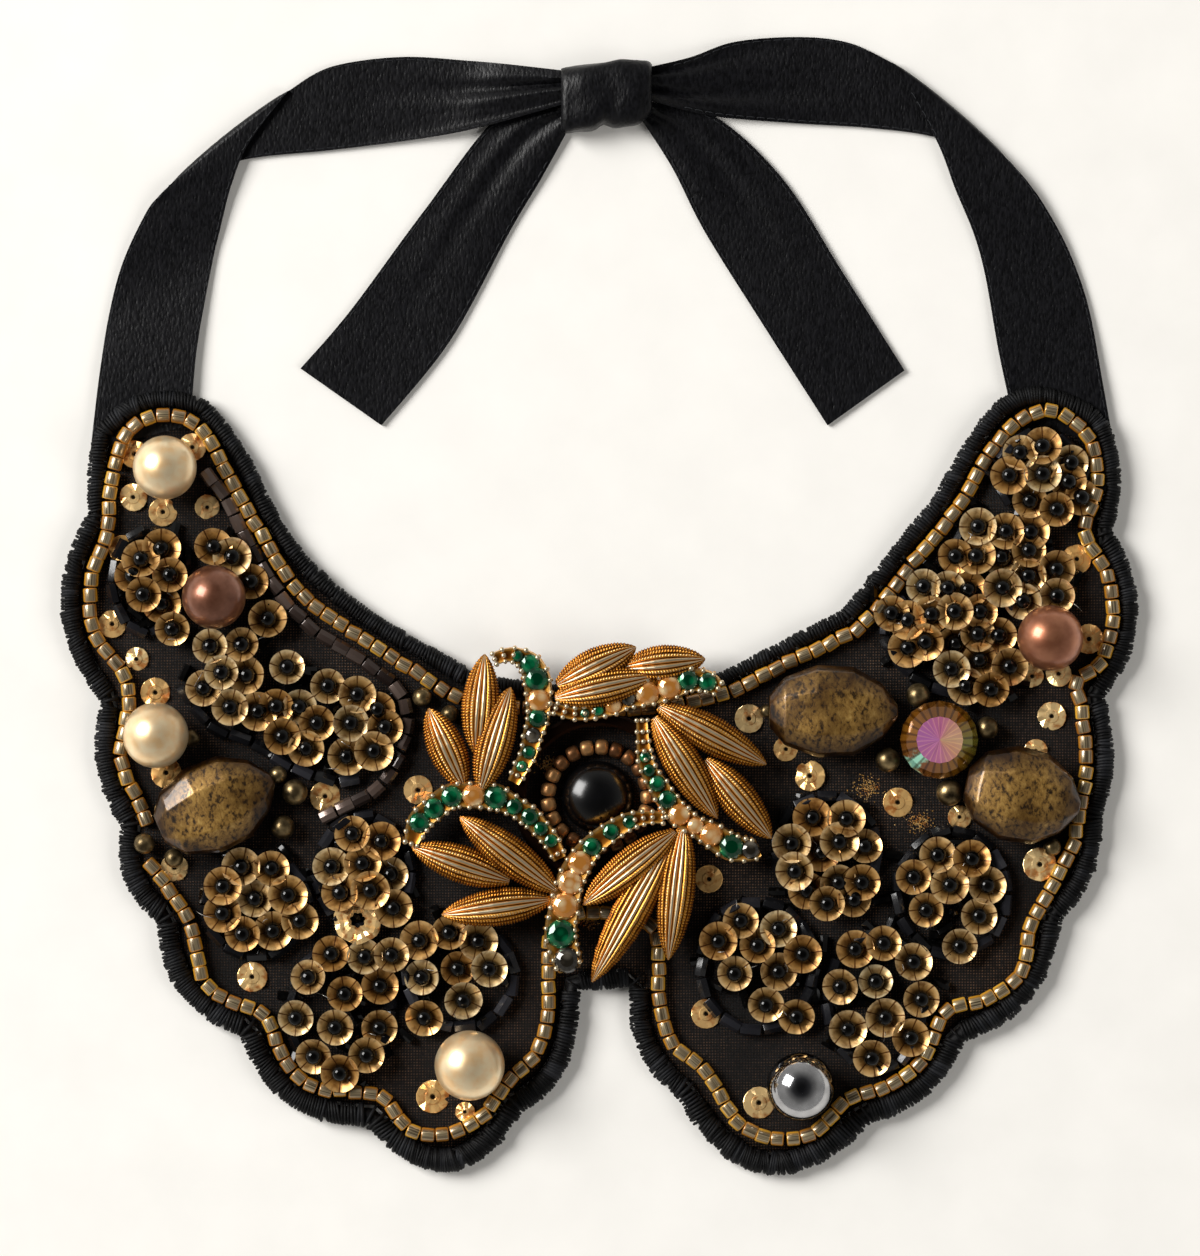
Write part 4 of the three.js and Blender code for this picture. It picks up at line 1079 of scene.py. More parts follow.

# %% [markdown]
# ## Bronze nuggets
# The three nuggets are cut from a bronze-brown stone full of dark veins and brassy glitter, with
# a flat table and irregular facets worn soft at their edges. The solid's shape is rebuilt from
# the same sections with more corners, and a bevel softens each edge. The sides are painted darker
# than the table and darkest at the foot, a painted shade, which the depth number tells.

# %% Material: mottled bronze stone
nugget_stone, tree, shader = surface(
    "mottled_bronze_stone", Metallic=0.5, Coat_Weight=0.45, Coat_Roughness=0.05
)
streaked = add_node(
    tree, "ShaderNodeMapping",
    {"Vector": places(tree), "Scale": (1.0, 0.7, 1.0), "Rotation": (0, 0, 0.9)},
)
veins = clouded(tree, 980.0, 7.0, streaked.outputs[0], Roughness=0.66, Distortion=0.25)
stone_base = ramp(
    tree, veins,
    [(0.34, "#241808"), (0.42, "#5A4220"), (0.48, "#946F36"), (0.6, "#B08A48"), (0.74, "#CFAA64")],
)
stone_cloud = ramp(tree, clouded(tree, 110.0, 4.0), [(0.34, "#7A6A52"), (0.6, "#FFFFFF")])
# Painted shade: the sides darker than the table, darkest at the foot.
side_shade = ramp(
    tree, number(tree, "depth"), [(0.0, "#3E311A"), (0.7, "#74603C"), (0.97, "#FFFFFF")]
)
plug(
    shader, Base_Color=mixed(tree, stone_base, mixed(tree, stone_cloud, side_shade)),
    Roughness=spread(tree, veins, 0.5, 0.24),
)
bump(shader, veins, 0.12 * MM, 0.6)

# %% Nuggets
nugget_chart = {
    "nugget_1": (217, 804, 26, 19.5, 24),
    "nugget_2": (833, 711, 27, 19.6, 0),
    "nugget_3": (1022, 795, 24.4, 20.4, -12),
}
nugget_rows = [
    (-0.5, 0.34, 0.66, 0.3), (-0.38, 0.74, 0.88, 0.14), (-0.12, 1, 1, 0), (0.16, 0.96, 1, 0),
    (0.38, 0.6, 0.84, 0.2), (0.5, 0.14, 0.68, 0.42),
]
for name, (x, y, length, width, turn) in nugget_chart.items():
    bottom_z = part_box(name)[0][2]
    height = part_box(name)[1][2] - bottom_z
    sections = []
    for along, wide, top, bottom in nugget_rows:
        half = wide * width * MM / 2
        girdle = (top + bottom) / 2
        corners = [
            (-0.5, top), (-0.9, girdle + (top - girdle) * 0.5), (-1, girdle), (-0.55, bottom),
            (0.55, bottom), (1, girdle), (0.86, girdle + (top - girdle) * 0.6), (0.42, top),
        ]
        sections.append([(along * length * MM, side * half, z * height) for side, z in corners])
    points, faces = loft(sections, inside_out=True)
    matrix = Matrix.Translation(spot(x, y, bottom_z)) @ Matrix.Rotation(math.radians(turn), 4, "Z")
    nugget = Heap(f"{name}_cut")
    nugget.put((points, faces), matrix, depth=points[:, 2] / height)
    bevel = nugget.make([nugget_stone], "bronze_nugget", name, 32).modifiers.new("worn_edges", "BEVEL")
    bevel.width = 1.0 * MM
    bevel.segments = 3
    bevel.limit_method = "ANGLE"
    bevel.angle_limit = math.radians(12)

# %% [markdown]
# ## The coated crystal
# A round crystal with a rainbow coat over a golden foil. The coat's colour runs round the stone
# in broad petals, pink and violet beside amber, with one green flash on the crown, a painted flash
# of light, and the facets break it up. Twenty-four pale rays cross the table, a painted reflection
# of the cuts of the back seen through it, and dark ones the crown. The petals are drawn by the
# angle about the stone's own middle, so they stay on it from any side.

# %% Material: rainbow coat
RAYS = 24
TABLE_SHARE = 0.597
crystal_low, crystal_high = (Vector(corner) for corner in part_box("rivoli_crystal"))
crystal_middle = (crystal_low + crystal_high) / 2
crystal_coat, tree, shader = surface(
    "rainbow_coated_crystal", Roughness=0.06, IOR=1.58, Coat_Weight=1.0, Coat_Roughness=0.02,
    Metallic=0.55,
)
centred = add_node(
    tree, "ShaderNodeVectorMath", {0: places(tree), 1: tuple(crystal_middle)}, operation="SUBTRACT"
)
fan = add_node(
    tree, "ShaderNodeTexGradient", {"Vector": centred.outputs[0]}, gradient_type="RADIAL"
).outputs["Fac"]
petals = calculated(tree, "MULTIPLY_ADD", clouded(tree, 520.0, 3.0), 0.12, fan)
table_colour = ramp(
    tree, petals,
    [(0.04, "#E08AD2"), (0.3, "#EA90C0"), (0.45, "#F8B498"), (0.56, "#FCCCA4"),
     (0.68, "#F8B4A4"), (0.8, "#EA88B8"), (1.0, "#E08AD2")],
)
# The crown's coat colour, with a painted green flash.
crown_coat_and_painted_flash = ramp(
    tree, petals,
    [(0.04, "#96601C"), (0.13, "#7E4C20"), (0.155, "#B4FADC"), (0.205, "#B4FADC"),
     (0.23, "#8A5228"), (0.4, "#9C6818"), (0.55, "#8A8430"), (0.68, "#966218"),
     (0.85, "#74481C"), (1.0, "#96601C")],
)
rays = calculated(tree, "SINE", calculated(tree, "MULTIPLY", fan, 2 * math.pi * RAYS))
# Painted reflection: pale rays of the back cuts, added to the table.
painted_back_cut_rays = ramp(tree, rays, [(0.5, "#000000"), (0.95, "#8A7030")])
crown_rays = ramp(tree, rays, [(0.2, "#FFFFFF"), (0.9, "#6A4A2A")])
on_crown = calculated(tree, "GREATER_THAN", number(tree, "depth"), TABLE_SHARE)
table = mixed(tree, table_colour, painted_back_cut_rays, 1.0, "ADD")
crown = mixed(tree, crown_coat_and_painted_flash, crown_rays, 0.7)
plug(shader, Base_Color=mixed(tree, table, crown, on_crown, "MIX"))


# %% Crystal
def facetted(levels, facets, radius, height):
    """Points and facets between levels of (reach, height, share of a facet turned)."""
    points = [p for reach, up, offset in levels
              for p in ring_of(facets, reach * radius, up * height, offset)]
    faces = []
    for i in range(len(levels) - 1):
        a, b = i * facets, (i + 1) * facets
        twist = levels[i][2] - levels[i + 1][2]
        for j in range(facets):
            k = (j + 1) % facets
            if twist == 0:
                faces.append((a + j, a + k, b + k, b + j))
            elif twist > 0:
                faces += [(a + j, b + k, b + j), (a + j, a + k, b + k)]
            else:
                faces += [(a + j, a + k, b + j), (a + k, b + k, b + j)]
    return points, faces


CRYSTAL_FACETS = 16
radius = (crystal_high.x - crystal_low.x) / 2
height = crystal_high.z - crystal_low.z
levels = [(0.42, 0.0, 0.5), (0.97, 0.52, 0.0), (1.0, 0.6, 0.0), (0.86, 0.8, 0.5), (0.6, 1.0, 0.0)]
points, faces = facetted(levels, CRYSTAL_FACETS, radius, height)
star, last = len(points), len(points) - CRYSTAL_FACETS
points.append((0, 0, height))
for j, (x, y, _) in enumerate(ring_of(CRYSTAL_FACETS, 0.22 * radius, 0, 0.5)):
    points.append((x, y, height * (0.985 if j % 2 else 1.0)))
for j in range(CRYSTAL_FACETS):
    k = (j + 1) % CRYSTAL_FACETS
    faces += [(last + j, last + k, star + 1 + j), (last + k, star + 1 + k, star + 1 + j),
              (star, star + 1 + j, star + 1 + k)]
faces.append(tuple(reversed(range(CRYSTAL_FACETS))))
points = np.array(points)
crystal = Heap("rainbow_crystal")
crystal_foot = Matrix.Translation((crystal_middle.x, crystal_middle.y, crystal_low.z))
crystal.put((points, faces), crystal_foot, depth=polar(points)[1] / radius)
crystal.make([crystal_coat], "coated_crystal", "rivoli_crystal", smooth=False)

# %% [markdown]
# ## The black stone and its ring
# In the brooch's middle sits a domed black onyx, polished so that it mirrors the window, in a
# ring of satin bronze seed beads. Seed beads are cut from cane and tumbled, so each is a small
# fat ring, wider than it is long.

# %% Onyx
DOME_EDGE = 0.25 * MM
DOME_STEPS = 14
onyx, tree, shader = surface("polished_onyx", Roughness=0.2, IOR=1.54)
plug(shader, Base_Color=ramp(tree, clouded(tree, 120.0, 3.0), [(0.35, "#030303"), (0.7, "#0B0B0C")]))
dome_low, dome_high = Vector(stone_low), Vector(stone_high)
dome_radius = (dome_high.x - dome_low.x) / 2
dome_rise = dome_high.z - dome_low.z - DOME_EDGE
profile = [(dome_radius * 0.96, 0.0), (dome_radius, DOME_EDGE)]
for i in range(1, DOME_STEPS):
    angle = math.pi / 2 * i / DOME_STEPS
    profile.append((dome_radius * math.cos(angle), DOME_EDGE + dome_rise * math.sin(angle)))
dome = Heap("onyx_dome")
dome.put(turned(profile, 56), Matrix.Translation((stone_middle.x, stone_middle.y, dome_low.z)))
dome.make([onyx], "black_stone", "onyx_cabochon", 50)

# %% Bronze seed beads
SEED_RING = 10.5 * MM
SEED_COUNT = 21
seed_bronze, tree, shader = surface("satin_bronze_seed_bead", Roughness=0.38, Metallic=0.75)
skin = clouded(tree, 800.0, 3.0)
toned = calculated(tree, "MULTIPLY_ADD", skin, 0.5, number(tree, "tone"))
plug(shader, Base_Color=ramp(tree, toned, [(0.2, "#5A3820"), (0.7, "#8A5F3A"), (1.0, "#B98A58")]))
bump(shader, skin, 0.03 * MM, 0.4)
seed_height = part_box("bronze_bead_ring")[0][2] + 1.5 * MM
seed_shape = tube_bead(2.75 * MM, 1.6 * MM, 0.5 * MM, 0.75 * MM, 20)
seeds = Heap("bronze_seed_ring")
for cosine, sine, _ in ring_of(SEED_COUNT, 1, 0):
    place = Vector((stone_middle.x + SEED_RING * cosine, stone_middle.y + SEED_RING * sine, seed_height))
    along = Vector((-sine + dice.gauss(0, 0.06), cosine + dice.gauss(0, 0.06), 0))
    seeds.put(seed_shape, aimed(place, along))
seeds.make([seed_bronze], "bronze_bead", "bronze_bead_ring", 50)

# %% [markdown]
# ## Gilt metal
# The brooch is cast, gilded and antiqued: warm orange gold on its flanks, a pale, silvery gold
# on the high ridges and upper sides, which is a painted highlight, and nearly brown in the seams,
# partly the antique darkening and partly painted shade. The depth number on the mesh tells seam,
# 0, from flank, about a half, and ridge, 1.

# %% Material: antiqued gilt
gilt, tree, shader = surface("antiqued_gilt_casting", Metallic=0.88)
tarnish = clouded(tree, 300.0, 5.0)
# Painted light: depth pales the ridges to silver, a painted highlight, and darkens the seams, partly
# painted shade.
tarnish_and_painted_light = calculated(tree, "MULTIPLY_ADD", tarnish, 0.3, number(tree, "depth"))
gilt_with_painted_light = ramp(
    tree, calculated(tree, "SUBTRACT", tarnish_and_painted_light, 0.15),
    [(0.08, "#1E0D03"), (0.28, "#8A4A0E"), (0.5, "#F0A63C"), (0.7, "#E4B468"), (0.95, "#D8C8A8")],
)
plug(shader, Base_Color=gilt_with_painted_light, Roughness=spread(tree, tarnish, 0.29, 0.46))
bump(shader, clouded(tree, 2200.0), 0.03 * MM, 0.6)

# %% [markdown]
# ## Brooch leaves
# Each leaf is a plump spindle of cords laid lengthwise. Along its back the cords are smooth and
# painted silvery, a painted highlight; down its flanks they break into rows of tiny grains. Both
# are real relief: the section rises over each cord as a half round and falls to a sharp seam, and
# on the flanks the cords are notched along their length as well. The underside, which lies on the
# cloth, has fewer columns.

# %% Leaves
LEAF_HALF_WIDTH = 3.9 * MM
LEAF_HALF_HEIGHT = 2.7 * MM
LEAF_AXIS = 9.6 * MM
CORDS = 20
GRAIN = 0.62 * MM
RELIEF = 0.6 * MM
LEAF_LONG = 120
CORD_TURN = 2 * math.pi / CORDS
leaf_angles = np.concatenate([
    np.arange(12 * 7) * CORD_TURN / 7 - CORD_TURN,
    np.arange(8) * CORD_TURN + 11 * CORD_TURN,
])
leaf_chart = [
    (485, 654, 477, 753, 0.6), (511, 687, 481, 790, 0), (429, 708, 464, 786, 0.8),
    (460, 816, 557, 890, 0), (412, 846, 510, 880, 0.6), (442, 914, 550, 899, 1.2),
    (583, 904, 675, 831, 0), (592, 981, 670, 840, 0.6), (668, 959, 683, 825, 0.8),
    (717, 818, 654, 717, 0), (766, 764, 658, 706, 0.6), (771, 838, 705, 759, 0.9),
    (636, 647, 557, 685, 0.6), (705, 659, 623, 668, 0.9), (655, 676, 555, 698, 0),
]
leaf_along = np.array([0, 0.03, 0.1, 0.2, 0.34, 0.48, 0.62, 0.76, 0.88, 1.0])
leaf_width = np.array([0.04, 0.2, 0.46, 0.7, 0.9, 1.0, 0.98, 0.84, 0.6, 0.24])


def brooch_leaf(tip, foot, lower):
    """Points, faces and depth of one corded leaf between its tip and its foot."""
    along = np.array(foot - tip)
    length = np.hypot(along[0], along[1])
    side = np.array([-along[1], along[0], 0]) / length
    t = np.linspace(0, 1, LEAF_LONG + 1)[:, None]
    angle = leaf_angles[None, :]
    width = np.interp(t, leaf_along, leaf_width)
    phase = (angle / CORD_TURN + 1e-6) % 1.0 * 2 - 1
    cord = 1 - np.abs(phase) ** 2.2
    flank = np.clip((0.975 - np.sin(angle)) / 0.12, 0, 1)
    notch = 0.5 + 0.5 * np.cos(2 * math.pi * t * length / GRAIN + math.pi * np.round(phase))
    relief = cord * (1 - 0.7 * flank * (1 - notch))
    swell = (relief - 0.6) * RELIEF * np.minimum(1, width * 1.6)
    reach = LEAF_HALF_WIDTH * width + swell
    rise = LEAF_HALF_HEIGHT * width + swell
    arch = 0.4 * MM * np.sin(math.pi * t)
    points = np.array(tip) + t[..., None] * along + (reach * np.cos(angle))[..., None] * side
    points[..., 2] = LEAF_AXIS - lower * MM + rise * np.sin(angle) + arch
    # Depth grows with the relief and towards the upper side: the top is painted silvery, a painted
    # highlight, and the seams dark, partly painted shade.
    depth = relief * (0.38 + 0.62 * np.clip(np.sin(angle), 0, 1) ** 2) + 0.02
    faces = skin_faces(LEAF_LONG + 1, len(leaf_angles), inside_out=True)
    return (points.reshape(-1, 3), faces), depth.reshape(-1)


for group in range(3):
    leaves = Heap(f"brooch_leaves_{group + 1}")
    for tip_x, tip_y, foot_x, foot_y, lower in leaf_chart[group * 5 : group * 5 + 5]:
        shape, depth = brooch_leaf(spot(tip_x, tip_y), spot(foot_x, foot_y), lower)
        leaves.put(shape, depth=depth)
    leaves.make([gilt], "gilt_metal", "brooch")

# %% [markdown]
# ## Pave bands
# Between the leaves run five curved bands of graded stones, each held by small round prongs. The
# band follows its stones: at each one it is as wide as the stone and its margin. The prongs
# stand in pairs between neighbouring stones and run on along the plain ends, and a string of
# grains goes round the band's foot.

# %% Pave bands
BAND_BOTTOM = 6.7 * MM
BAND_TOP = 10.2 * MM
MARGIN = 0.65 * MM
PRONG = 0.56 * MM
PRONG_PITCH = 1.75 * MM
PLAIN_HALF = 1.8 * MM
GREEN, CHAMPAGNE, SMOKY = 0, 1, 2
band_chart = [
    [(495, 659, 0.7, None), (506, 655, 0.8, None), (518, 656, 1.1, GREEN), (530, 664, 1.9, GREEN),
     (537, 679, 2.3, GREEN), (539, 700, 2.2, CHAMPAGNE), (538, 718, 1.8, GREEN),
     (533, 735, 1.5, SMOKY), (529, 752, 1.3, GREEN), (522, 766, 1.1, GREEN), (514, 782, 0.7, None)],
    [(412, 843, 0.8, None), (420, 822, 2.0, GREEN), (434.5, 808, 2.0, GREEN),
     (452, 796, 2.1, GREEN), (474, 795, 2.2, CHAMPAGNE), (496, 797, 2.3, GREEN),
     (514.5, 806, 1.6, GREEN), (530, 816, 1.7, GREEN), (541, 828, 1.4, GREEN),
     (551, 840, 1.3, GREEN), (560, 858, 0.8, None)],
    [(663, 817, 0.7, None), (646, 817, 0.8, None), (629, 821, 1.3, GREEN), (611, 831, 1.6, GREEN),
     (592, 846, 1.8, GREEN), (580, 862, 2.3, CHAMPAGNE), (570, 882, 2.4, CHAMPAGNE),
     (565, 905, 2.6, CHAMPAGNE), (561, 933, 2.8, GREEN), (567, 959, 2.5, SMOKY),
     (570, 969, 1.6, None)],
    [(642, 720, 0.6, None), (643, 738, 0.7, None), (645, 756.5, 1.1, GREEN),
     (649, 770, 1.2, GREEN), (657, 783, 1.6, GREEN), (667, 799, 1.8, GREEN),
     (679, 814, 2.1, CHAMPAGNE), (695, 825, 1.6, CHAMPAGNE), (711, 834, 2.2, CHAMPAGNE),
     (731, 846, 2.4, GREEN), (750, 849, 1.8, SMOKY), (758, 847, 1.3, None)],
    [(556, 708, 0.6, None), (570, 713, 0.7, None), (585, 713, 0.9, GREEN), (598, 710, 1.1, GREEN),
     (613, 705, 1.6, CHAMPAGNE), (628, 698.5, 1.4, SMOKY), (647, 693, 2.3, CHAMPAGNE),
     (669, 687, 2.3, CHAMPAGNE), (688, 680, 2.0, GREEN), (707, 682, 1.8, GREEN),
     (719, 689, 0.8, None)],
]
bands = Heap("brooch_bands")
prong = ball(PRONG, 12)
foot_grain = ball(0.42 * MM, 8)
band_section = [(-0.7, 0), (-0.95, 0.4), (-1.0, 0.75), (-0.86, 0.97), (-0.5, 0.9), (0, 0.86),
                (0.5, 0.9), (0.86, 0.97), (1.0, 0.75), (0.95, 0.4), (0.7, 0)]
# Depth round the section: the foot painted darker, painted shade, and the shoulders paler, a painted
# highlight.
section_painted_light = [0.2, 0.45, 0.6, 0.75, 0.35, 0.3, 0.35, 0.75, 0.6, 0.45, 0.2]


def add_prongs(place, side, half):
    """A pair of prongs with a grain at each foot, and one on the crest where the band is plain."""
    for v in (-1, 1):
        grip = place + side * (v * half * dice.uniform(0.84, 0.92))
        grip.z = BAND_TOP + dice.uniform(0.0, 0.18) * MM
        grip_size = Matrix.Scale(dice.uniform(0.86, 1.1), 4)
        # The prongs take the palest gilt, a painted highlight.
        bands.put(prong, Matrix.Translation(grip) @ grip_size, depth=1.1)
        foot = place + side * (v * half)
        foot.z = BAND_BOTTOM + 1.7 * MM
        bands.put(foot_grain, Matrix.Translation(foot), depth=0.55)
    if half < PLAIN_HALF:
        crest = place.copy()
        crest.z = BAND_TOP + 0.1 * MM
        bands.put(prong, Matrix.Translation(crest), depth=1.0)


for chart in band_chart:
    sizes = [radius * MM + MARGIN for _, _, radius, _ in chart]
    line = smooth_through([spot(x, y) for x, y, _, _ in chart], 6)
    sections, grips = [], []
    travelled, last_prong = 0.0, -1.0
    for i, (place, at) in enumerate(line):
        before, after = line[max(i - 1, 0)][0], line[min(i + 1, len(line) - 1)][0]
        side = Vector((-(after - before).y, (after - before).x, 0)).normalized()
        half = between(sizes, at)
        sections.append([
            tuple((place + side * (half * reach)).xy) + (BAND_BOTTOM + (BAND_TOP - BAND_BOTTOM) * up,)
            for reach, up in band_section
        ])
        travelled += (place - before).length
        if travelled - last_prong >= PRONG_PITCH:
            last_prong = travelled
            grips.append((place, side, half))
    bands.put(loft(sections), depth=np.tile(section_painted_light, len(sections)))
    for grip in grips:
        add_prongs(*grip)
bands.make([gilt], "gilt_metal", "brooch", 50)

# %% [markdown]
# ## The brooch's back ring
# Under the leaves a flat cast ring joins the five sprays. Only bits of it show in the gaps, and
# its depth below every seam paints it nearly black, a painted shade under the leaves.

# %% Back ring
ring_profile = [(15.2, 6.2), (17.6, 6.2), (17.8, 6.9), (17.2, 7.5), (15.6, 7.5), (15.0, 6.9)]
ring_shape = turned([(r * MM, z * MM) for r, z in ring_profile], 72, closed=True)
back_ring = Heap("brooch_back_ring")
# Painted shade: the lowest depth makes the ring near black under the leaves.
back_ring.put(ring_shape, Matrix.Translation((stone_middle.x, stone_middle.y, 0)), depth=-0.1)
back_ring.make([gilt], "gilt_metal", "brooch", 40)

# %% [markdown]
# ## Brooch stones
# The stones are foiled glass, cut with a table and rings of twelve facets. Foil behind the glass
# sends light back, so a fully clear shader would look black over the metal. A metallic share
# with a clear coat keeps the body colour bright and the facets sharp, and the light that the
# foil sends back is painted into the body colour as soft bright patches, a painted glow.


# %% Materials and stones
STONE_FACETS = 12


def foiled_glass(name, deep, bright):
    material, tree, shader = surface(
        name, Roughness=0.08, Metallic=0.45, Coat_Weight=1.0, Coat_Roughness=0.02, IOR=1.56
    )
    # Painted glow: bright patches in the body colour for light sent back by the foil.
    painted_glow = add_node(tree, "ShaderNodeTexVoronoi", {"Vector": places(tree), "Scale": 430.0}, feature="F1")
    plug(shader, Base_Color=ramp(tree, painted_glow.outputs["Distance"], [(0.1, bright), (0.6, deep)]))
    return material


def cut_stone(radius):
    levels = [(0.7, -0.4, 0.0), (1.0, 0.02, 0.5), (0.84, 0.22, 0.0), (0.52, 0.38, 0.5)]
    points, faces = facetted(levels, STONE_FACETS, radius, radius)
    table = range(len(points) - STONE_FACETS, len(points))
    return np.array(points), faces + [tuple(reversed(range(STONE_FACETS))), tuple(table)]


emerald = foiled_glass("emerald_foiled_glass", "#013A20", "#128A55")
champagne = foiled_glass("champagne_foiled_glass", "#CE873A", "#FFE2AC")
smoky = foiled_glass("smoky_foiled_glass", "#2A261F", "#7A7264")
gems = Heap("brooch_stones")
for chart in band_chart:
    for i, (x, y, radius, kind) in enumerate(chart):
        if kind is not None:
            along = spot(*chart[i + 1][:2]) - spot(*chart[i - 1][:2])
            turn = Matrix.Rotation(math.atan2(along.y, along.x), 4, "Z")
            matrix = Matrix.Translation(spot(x, y, BAND_TOP)) @ turn
            gems.put(cut_stone(radius * MM * 1.1), matrix, kind)
gems.make([emerald, champagne, smoky], "gilt_metal", smooth=False)

# %% [markdown]
# ## Ribbon leather
# The ribbon is a soft black material with a fine lengthwise grain like glove leather and a low
# satin sheen. The grain is a noise with cells about 0.5 mm wide and stretched to twice that
# length, coarser than the real one so that it shows.

# %% Material: black grained ribbon
ribbon_skin, tree, shader = surface("black_grained_ribbon", Roughness=0.42, Specular_IOR_Level=0.28)
stretched = add_node(
    tree, "ShaderNodeMapping",
    {"Vector": places(tree), "Scale": (1.0, 0.45, 1.0), "Rotation": (0, 0, 0.5)},
).outputs[0]
grain = add_node(
    tree, "ShaderNodeTexVoronoi", {"Vector": stretched, "Scale": 1900.0}, feature="SMOOTH_F1"
).outputs["Distance"]
creases = clouded(tree, 1250.0, 3.0, stretched, Distortion=1.2)
skin_height = calculated(tree, "MULTIPLY_ADD", creases, 0.8, grain)
plug(
    shader, Roughness=spread(tree, creases, 0.28, 0.5),
    Base_Color=ramp(tree, skin_height, [(0.3, "#020203"), (0.7, "#060608"), (1.0, "#0F0F12")]),
)
bump(shader, skin_height, 0.1 * MM, 0.8)

# %% [markdown]
# ## The ribbon
# Each side is one flat strip: a strap up from the collar, folded over at a slant, and a band to
# the knot. The chart gives both edges at a few sections, the height of the strip in millimetres
# and, near the knot, how deep its gathers are. The strip is cut in three stretches, the strap,
# the fold and the band, because the fold turns the face over along its crease.

# %% Ribbon strips
RIBBON = 0.8 * MM
ACROSS = 14
strap_left = [
    (90, 450, 190, 425, 1.6), (98, 380, 196, 350, 1.3), (108, 315, 211, 265, 0.6),
    (122, 262, 221, 222, 0.9), (145, 213, 231, 184, 1.5), (158, 196, 248, 143, 1.9),
    (171, 183, 288, 90, 1.9),
]
band_left = [
    (171, 183, 288, 90, 0.5, 0), (242, 159, 330, 66, 0.5, 0), (333, 149, 400, 56, 0.5, 0),
    (420, 138, 470, 60, 0.9, 0.5), (480, 127, 510, 64, 2.3, 1.1), (568, 103, 568, 71, 3.6, 1.3),
]
strap_right = [
    (1115, 450, 1013, 415, 1.6), (1103, 380, 999, 350, 1.3), (1089, 305, 986, 275, 0.6),
    (1069, 249, 974, 232, 0.9), (1045, 205, 956, 189, 1.5), (1027, 180, 936, 138, 1.9),
    (1008, 159, 893, 62, 1.9),
]
band_right = [
    (1008, 159, 893, 62, 0.5, 0), (935, 136, 850, 42, 0.5, 0), (870, 127, 800, 36, 0.5, 0),
    (790, 122, 735, 41, 0.9, 0.5), (710, 115, 690, 57, 2.3, 1.1), (645, 99, 645, 68, 3.6, 1.3),
]
tail_left_chart = [
    (560, 102, 569, 127, 1.6, 0.7), (500, 114, 541, 178, 1.0, 0.6), (423, 211, 510, 230, 0.5, 0.2),
    (350, 310, 450, 340, 0.5, 0), (300, 368, 381, 425, 0.5, 0),
]
tail_right_chart = [
    (652, 102, 643, 121, 1.6, 0.7), (714, 115, 673, 168, 1.0, 0.6), (783, 178, 705, 231, 0.5, 0.2),
    (842, 270, 762, 322, 0.5, 0), (905, 370, 828, 425, 0.5, 0),
]


def strip_rows(chart, steps):
    """Both edges and the gathers' depth, smoothly through the charted sections."""
    edge_a = smooth_through([spot(row[0], row[1], row[4] * MM) for row in chart], steps)
    edge_b = smooth_through([spot(row[2], row[3], row[4] * MM) for row in chart], steps)
    gathers = [row[5] if len(row) > 5 else 0.0 for row in chart]
    return [(a, b, between(gathers, at)) for (a, at), (b, _) in zip(edge_a, edge_b)]


def strip_skin(rows, flip, phase):
    """The upper and lower skin of one stretch, section by section."""
    sections = []
    for a, b, gather in rows:
        upper, lower = [], []
        for j in range(ACROSS + 1):
            v = j / ACROSS
            place = a.lerp(b, v)
            broad = math.cos(2 * math.pi * (2.2 * v + phase))
            narrow = 0.5 * math.cos(2 * math.pi * (3.7 * v + phase * 2))
            lift = gather * MM * 0.5 * (broad + narrow)
            ripple = noise.noise(Vector((place.x, place.y, phase)) * 60) * 0.18 * MM
            middle = place.z + lift + ripple * min(1, 4 * v * (1 - v))
            upper.append((place.x, place.y, middle + RIBBON / 2))
            lower.append((place.x, place.y, max(middle - RIBBON / 2, 0.02 * MM)))
        if flip:
            upper, lower = lower, upper
        sections.append(upper + lower[::-1])
    return sections


def fold_skin(a, b, high, low, outside):
    """The turn at the crease, from the upper layer round to the lower one."""
    along = (b - a).normalized()
    out = Vector((-along.y, along.x, 0)) * outside
    centre, radius = (high + low) / 2, (high - low) / 2
    sections = []
    for k in range(1, 6):
        angle = math.pi * k / 6
        upper, lower = [], []
        for j in range(ACROSS + 1):
            place = a.lerp(b, j / ACROSS)
            taper = math.sin(math.pi * j / ACROSS) ** 0.6
            for skin, side in ((upper, 1), (lower, -1)):
                reach = radius + side * RIBBON / 2
                bend = place + out * (reach * math.sin(angle) * taper)
                skin.append((bend.x, bend.y, centre + reach * math.cos(angle)))
        sections.append(upper + lower[::-1])
    return sections


def ribbon_piece(node, sections):
    strip = Heap(f"{node}_grained")
    strip.put(loft(sections))
    piece = strip.make([ribbon_skin], "black_ribbon", node)
    work = bmesh.new()
    work.from_mesh(piece.data)
    bmesh.ops.recalc_face_normals(work, faces=work.faces)
    work.to_mesh(piece.data)
    work.free()
    piece.data.set_sharp_from_angle(angle=math.radians(60))


sides = (("left", strap_left, band_left, 1, 0.1), ("right", strap_right, band_right, -1, 0.62))
for side, strap, band, outside, phase in sides:
    strap_rows = strip_rows(strap, 8)
    crease_a, crease_b = (end.copy() for end in strap_rows[-1][:2])
    crease_a.z = crease_b.z = 0
    sections = strip_skin(strap_rows, False, 0.3)
    sections += fold_skin(crease_a, crease_b, strap[-1][4] * MM, band[0][4] * MM, outside)
    sections += strip_skin(strip_rows(band, 10), True, phase)
    ribbon_piece(f"ribbon_{side}", sections)
for side, chart in (("left", tail_left_chart), ("right", tail_right_chart)):
    ribbon_piece(f"tail_{side}", strip_skin(strip_rows(chart, 10), False, 0.4))

# %% [markdown]
# ## The knot
# The knot is a turn of the same ribbon pulled tight round both bands. It is a short barrel whose
# section is flattened, with pleats running round it that deepen towards the crease on its right.

